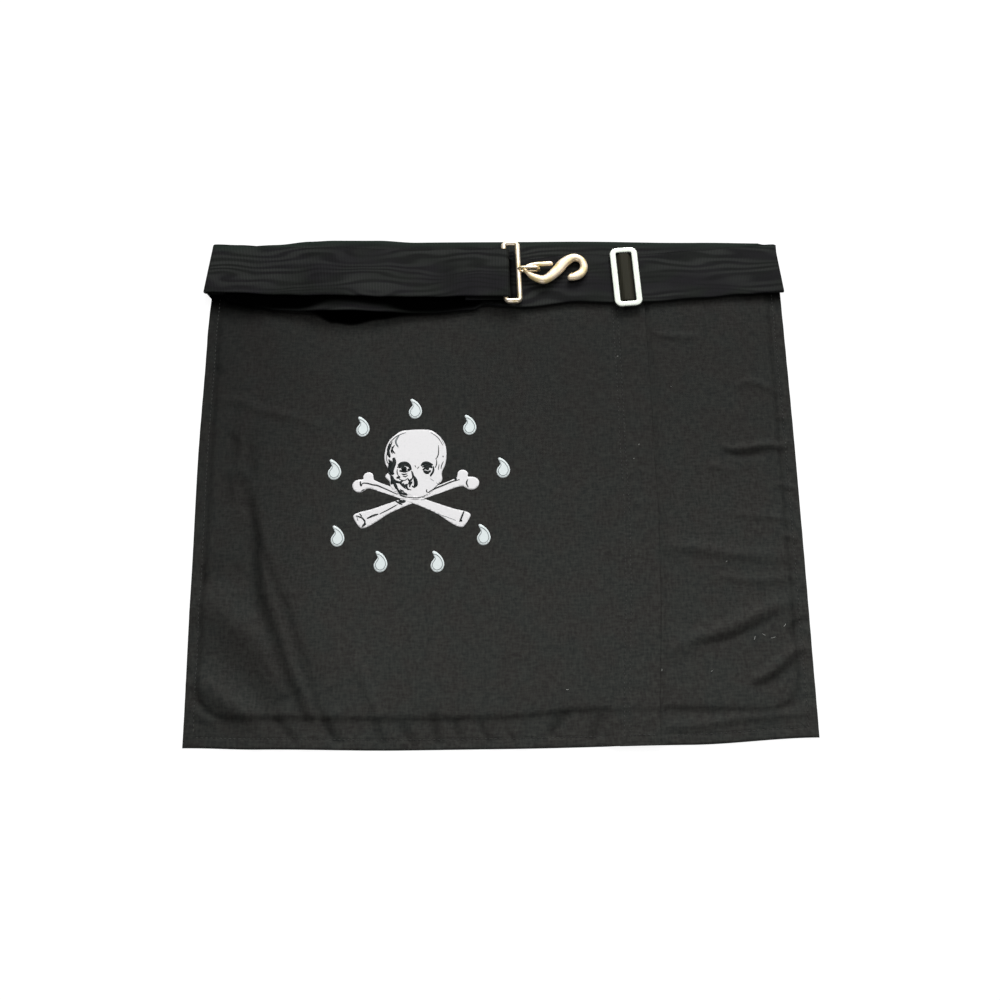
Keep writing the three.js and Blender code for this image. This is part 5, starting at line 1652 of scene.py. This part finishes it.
# Lights, all facing the apron: place and size in metres, power in watts
LIGHTS = rows(
    "name place_m size_m watts",
    ("window_light", (0.45, 2.62, 1.68), (1.7, 1.1), 104.0),
    ("ceiling_card", (0.15, 0.85, 1.5), (3.4, 1.7), 26.0),
    ("room_fill", (-0.1, -1.7, 1.2), (1.6, 1.0), 7.0),
)
LIGHT_AIM_M = (0.0, 0.02, 0.0)
WORLD_STRENGTH = 0.09


def area_light(name, place_m, size_m, watts):
    lamp = bpy.data.lights.new(name, "AREA")
    lamp.shape = "RECTANGLE"
    lamp.size, lamp.size_y = size_m
    lamp.energy = watts
    light = bpy.data.objects.new(name, lamp)
    light.location = place_m
    light.rotation_euler = (Vector(LIGHT_AIM_M) - Vector(place_m)).to_track_quat("-Z", "Y").to_euler()
    bpy.context.scene.collection.objects.link(light)


def studio():
    for row in LIGHTS:
        area_light(**row)
    world = bpy.data.worlds.new("studio")
    world.use_nodes = True
    world.node_tree.nodes["Background"].inputs["Color"].default_value = (1, 1, 1, 1)
    world.node_tree.nodes["Background"].inputs["Strength"].default_value = WORLD_STRENGTH
    scene = bpy.context.scene
    scene.world = world
    scene.view_settings.view_transform = "Standard"
    scene.view_settings.look = "None"


FLOOR_SIZE = 3000.0
FLOOR_LEVEL = -0.05
# The floor is a light table, so it stays as white as the photo's background
FLOOR_GLOW = 0.9


def floor():
    half = FLOOR_SIZE / 2
    corners = [(-half, -half, FLOOR_LEVEL), (half, -half, FLOOR_LEVEL), (half, half, FLOOR_LEVEL),
               (-half, half, FLOOR_LEVEL)]
    opal = Recipe("pale_floor", Roughness=0.9, Specular_IOR_Level=0.1, Emission_Color=(1, 1, 1, 1),
                  Emission_Strength=FLOOR_GLOW)
    tone = opal.noise(opal.place(), scale=3.0)
    opal.feed(opal.surface, {"Base_Color": opal.mix(tone, rgb(112, 112, 112), rgb(106, 106, 105))})
    ground = make_piece("floor", corners, [(0, 1, 2, 3)], opal.material, smooth=False, body=None)
    ground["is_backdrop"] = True
    return ground


camera()
studio()
ground = floor()
panel = apron_panel()
pocket_panel()
hem_stitches()
seam_stitches()
waist = waistband()
right_strap = belt_right()
belt_left()
buckle_loop()
snake_hook()
belt_slider()
emblem()
tears()
lint()

({"cad": [list(corner) for corner in cad_box],
           "visual": [list(corner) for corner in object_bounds()]})
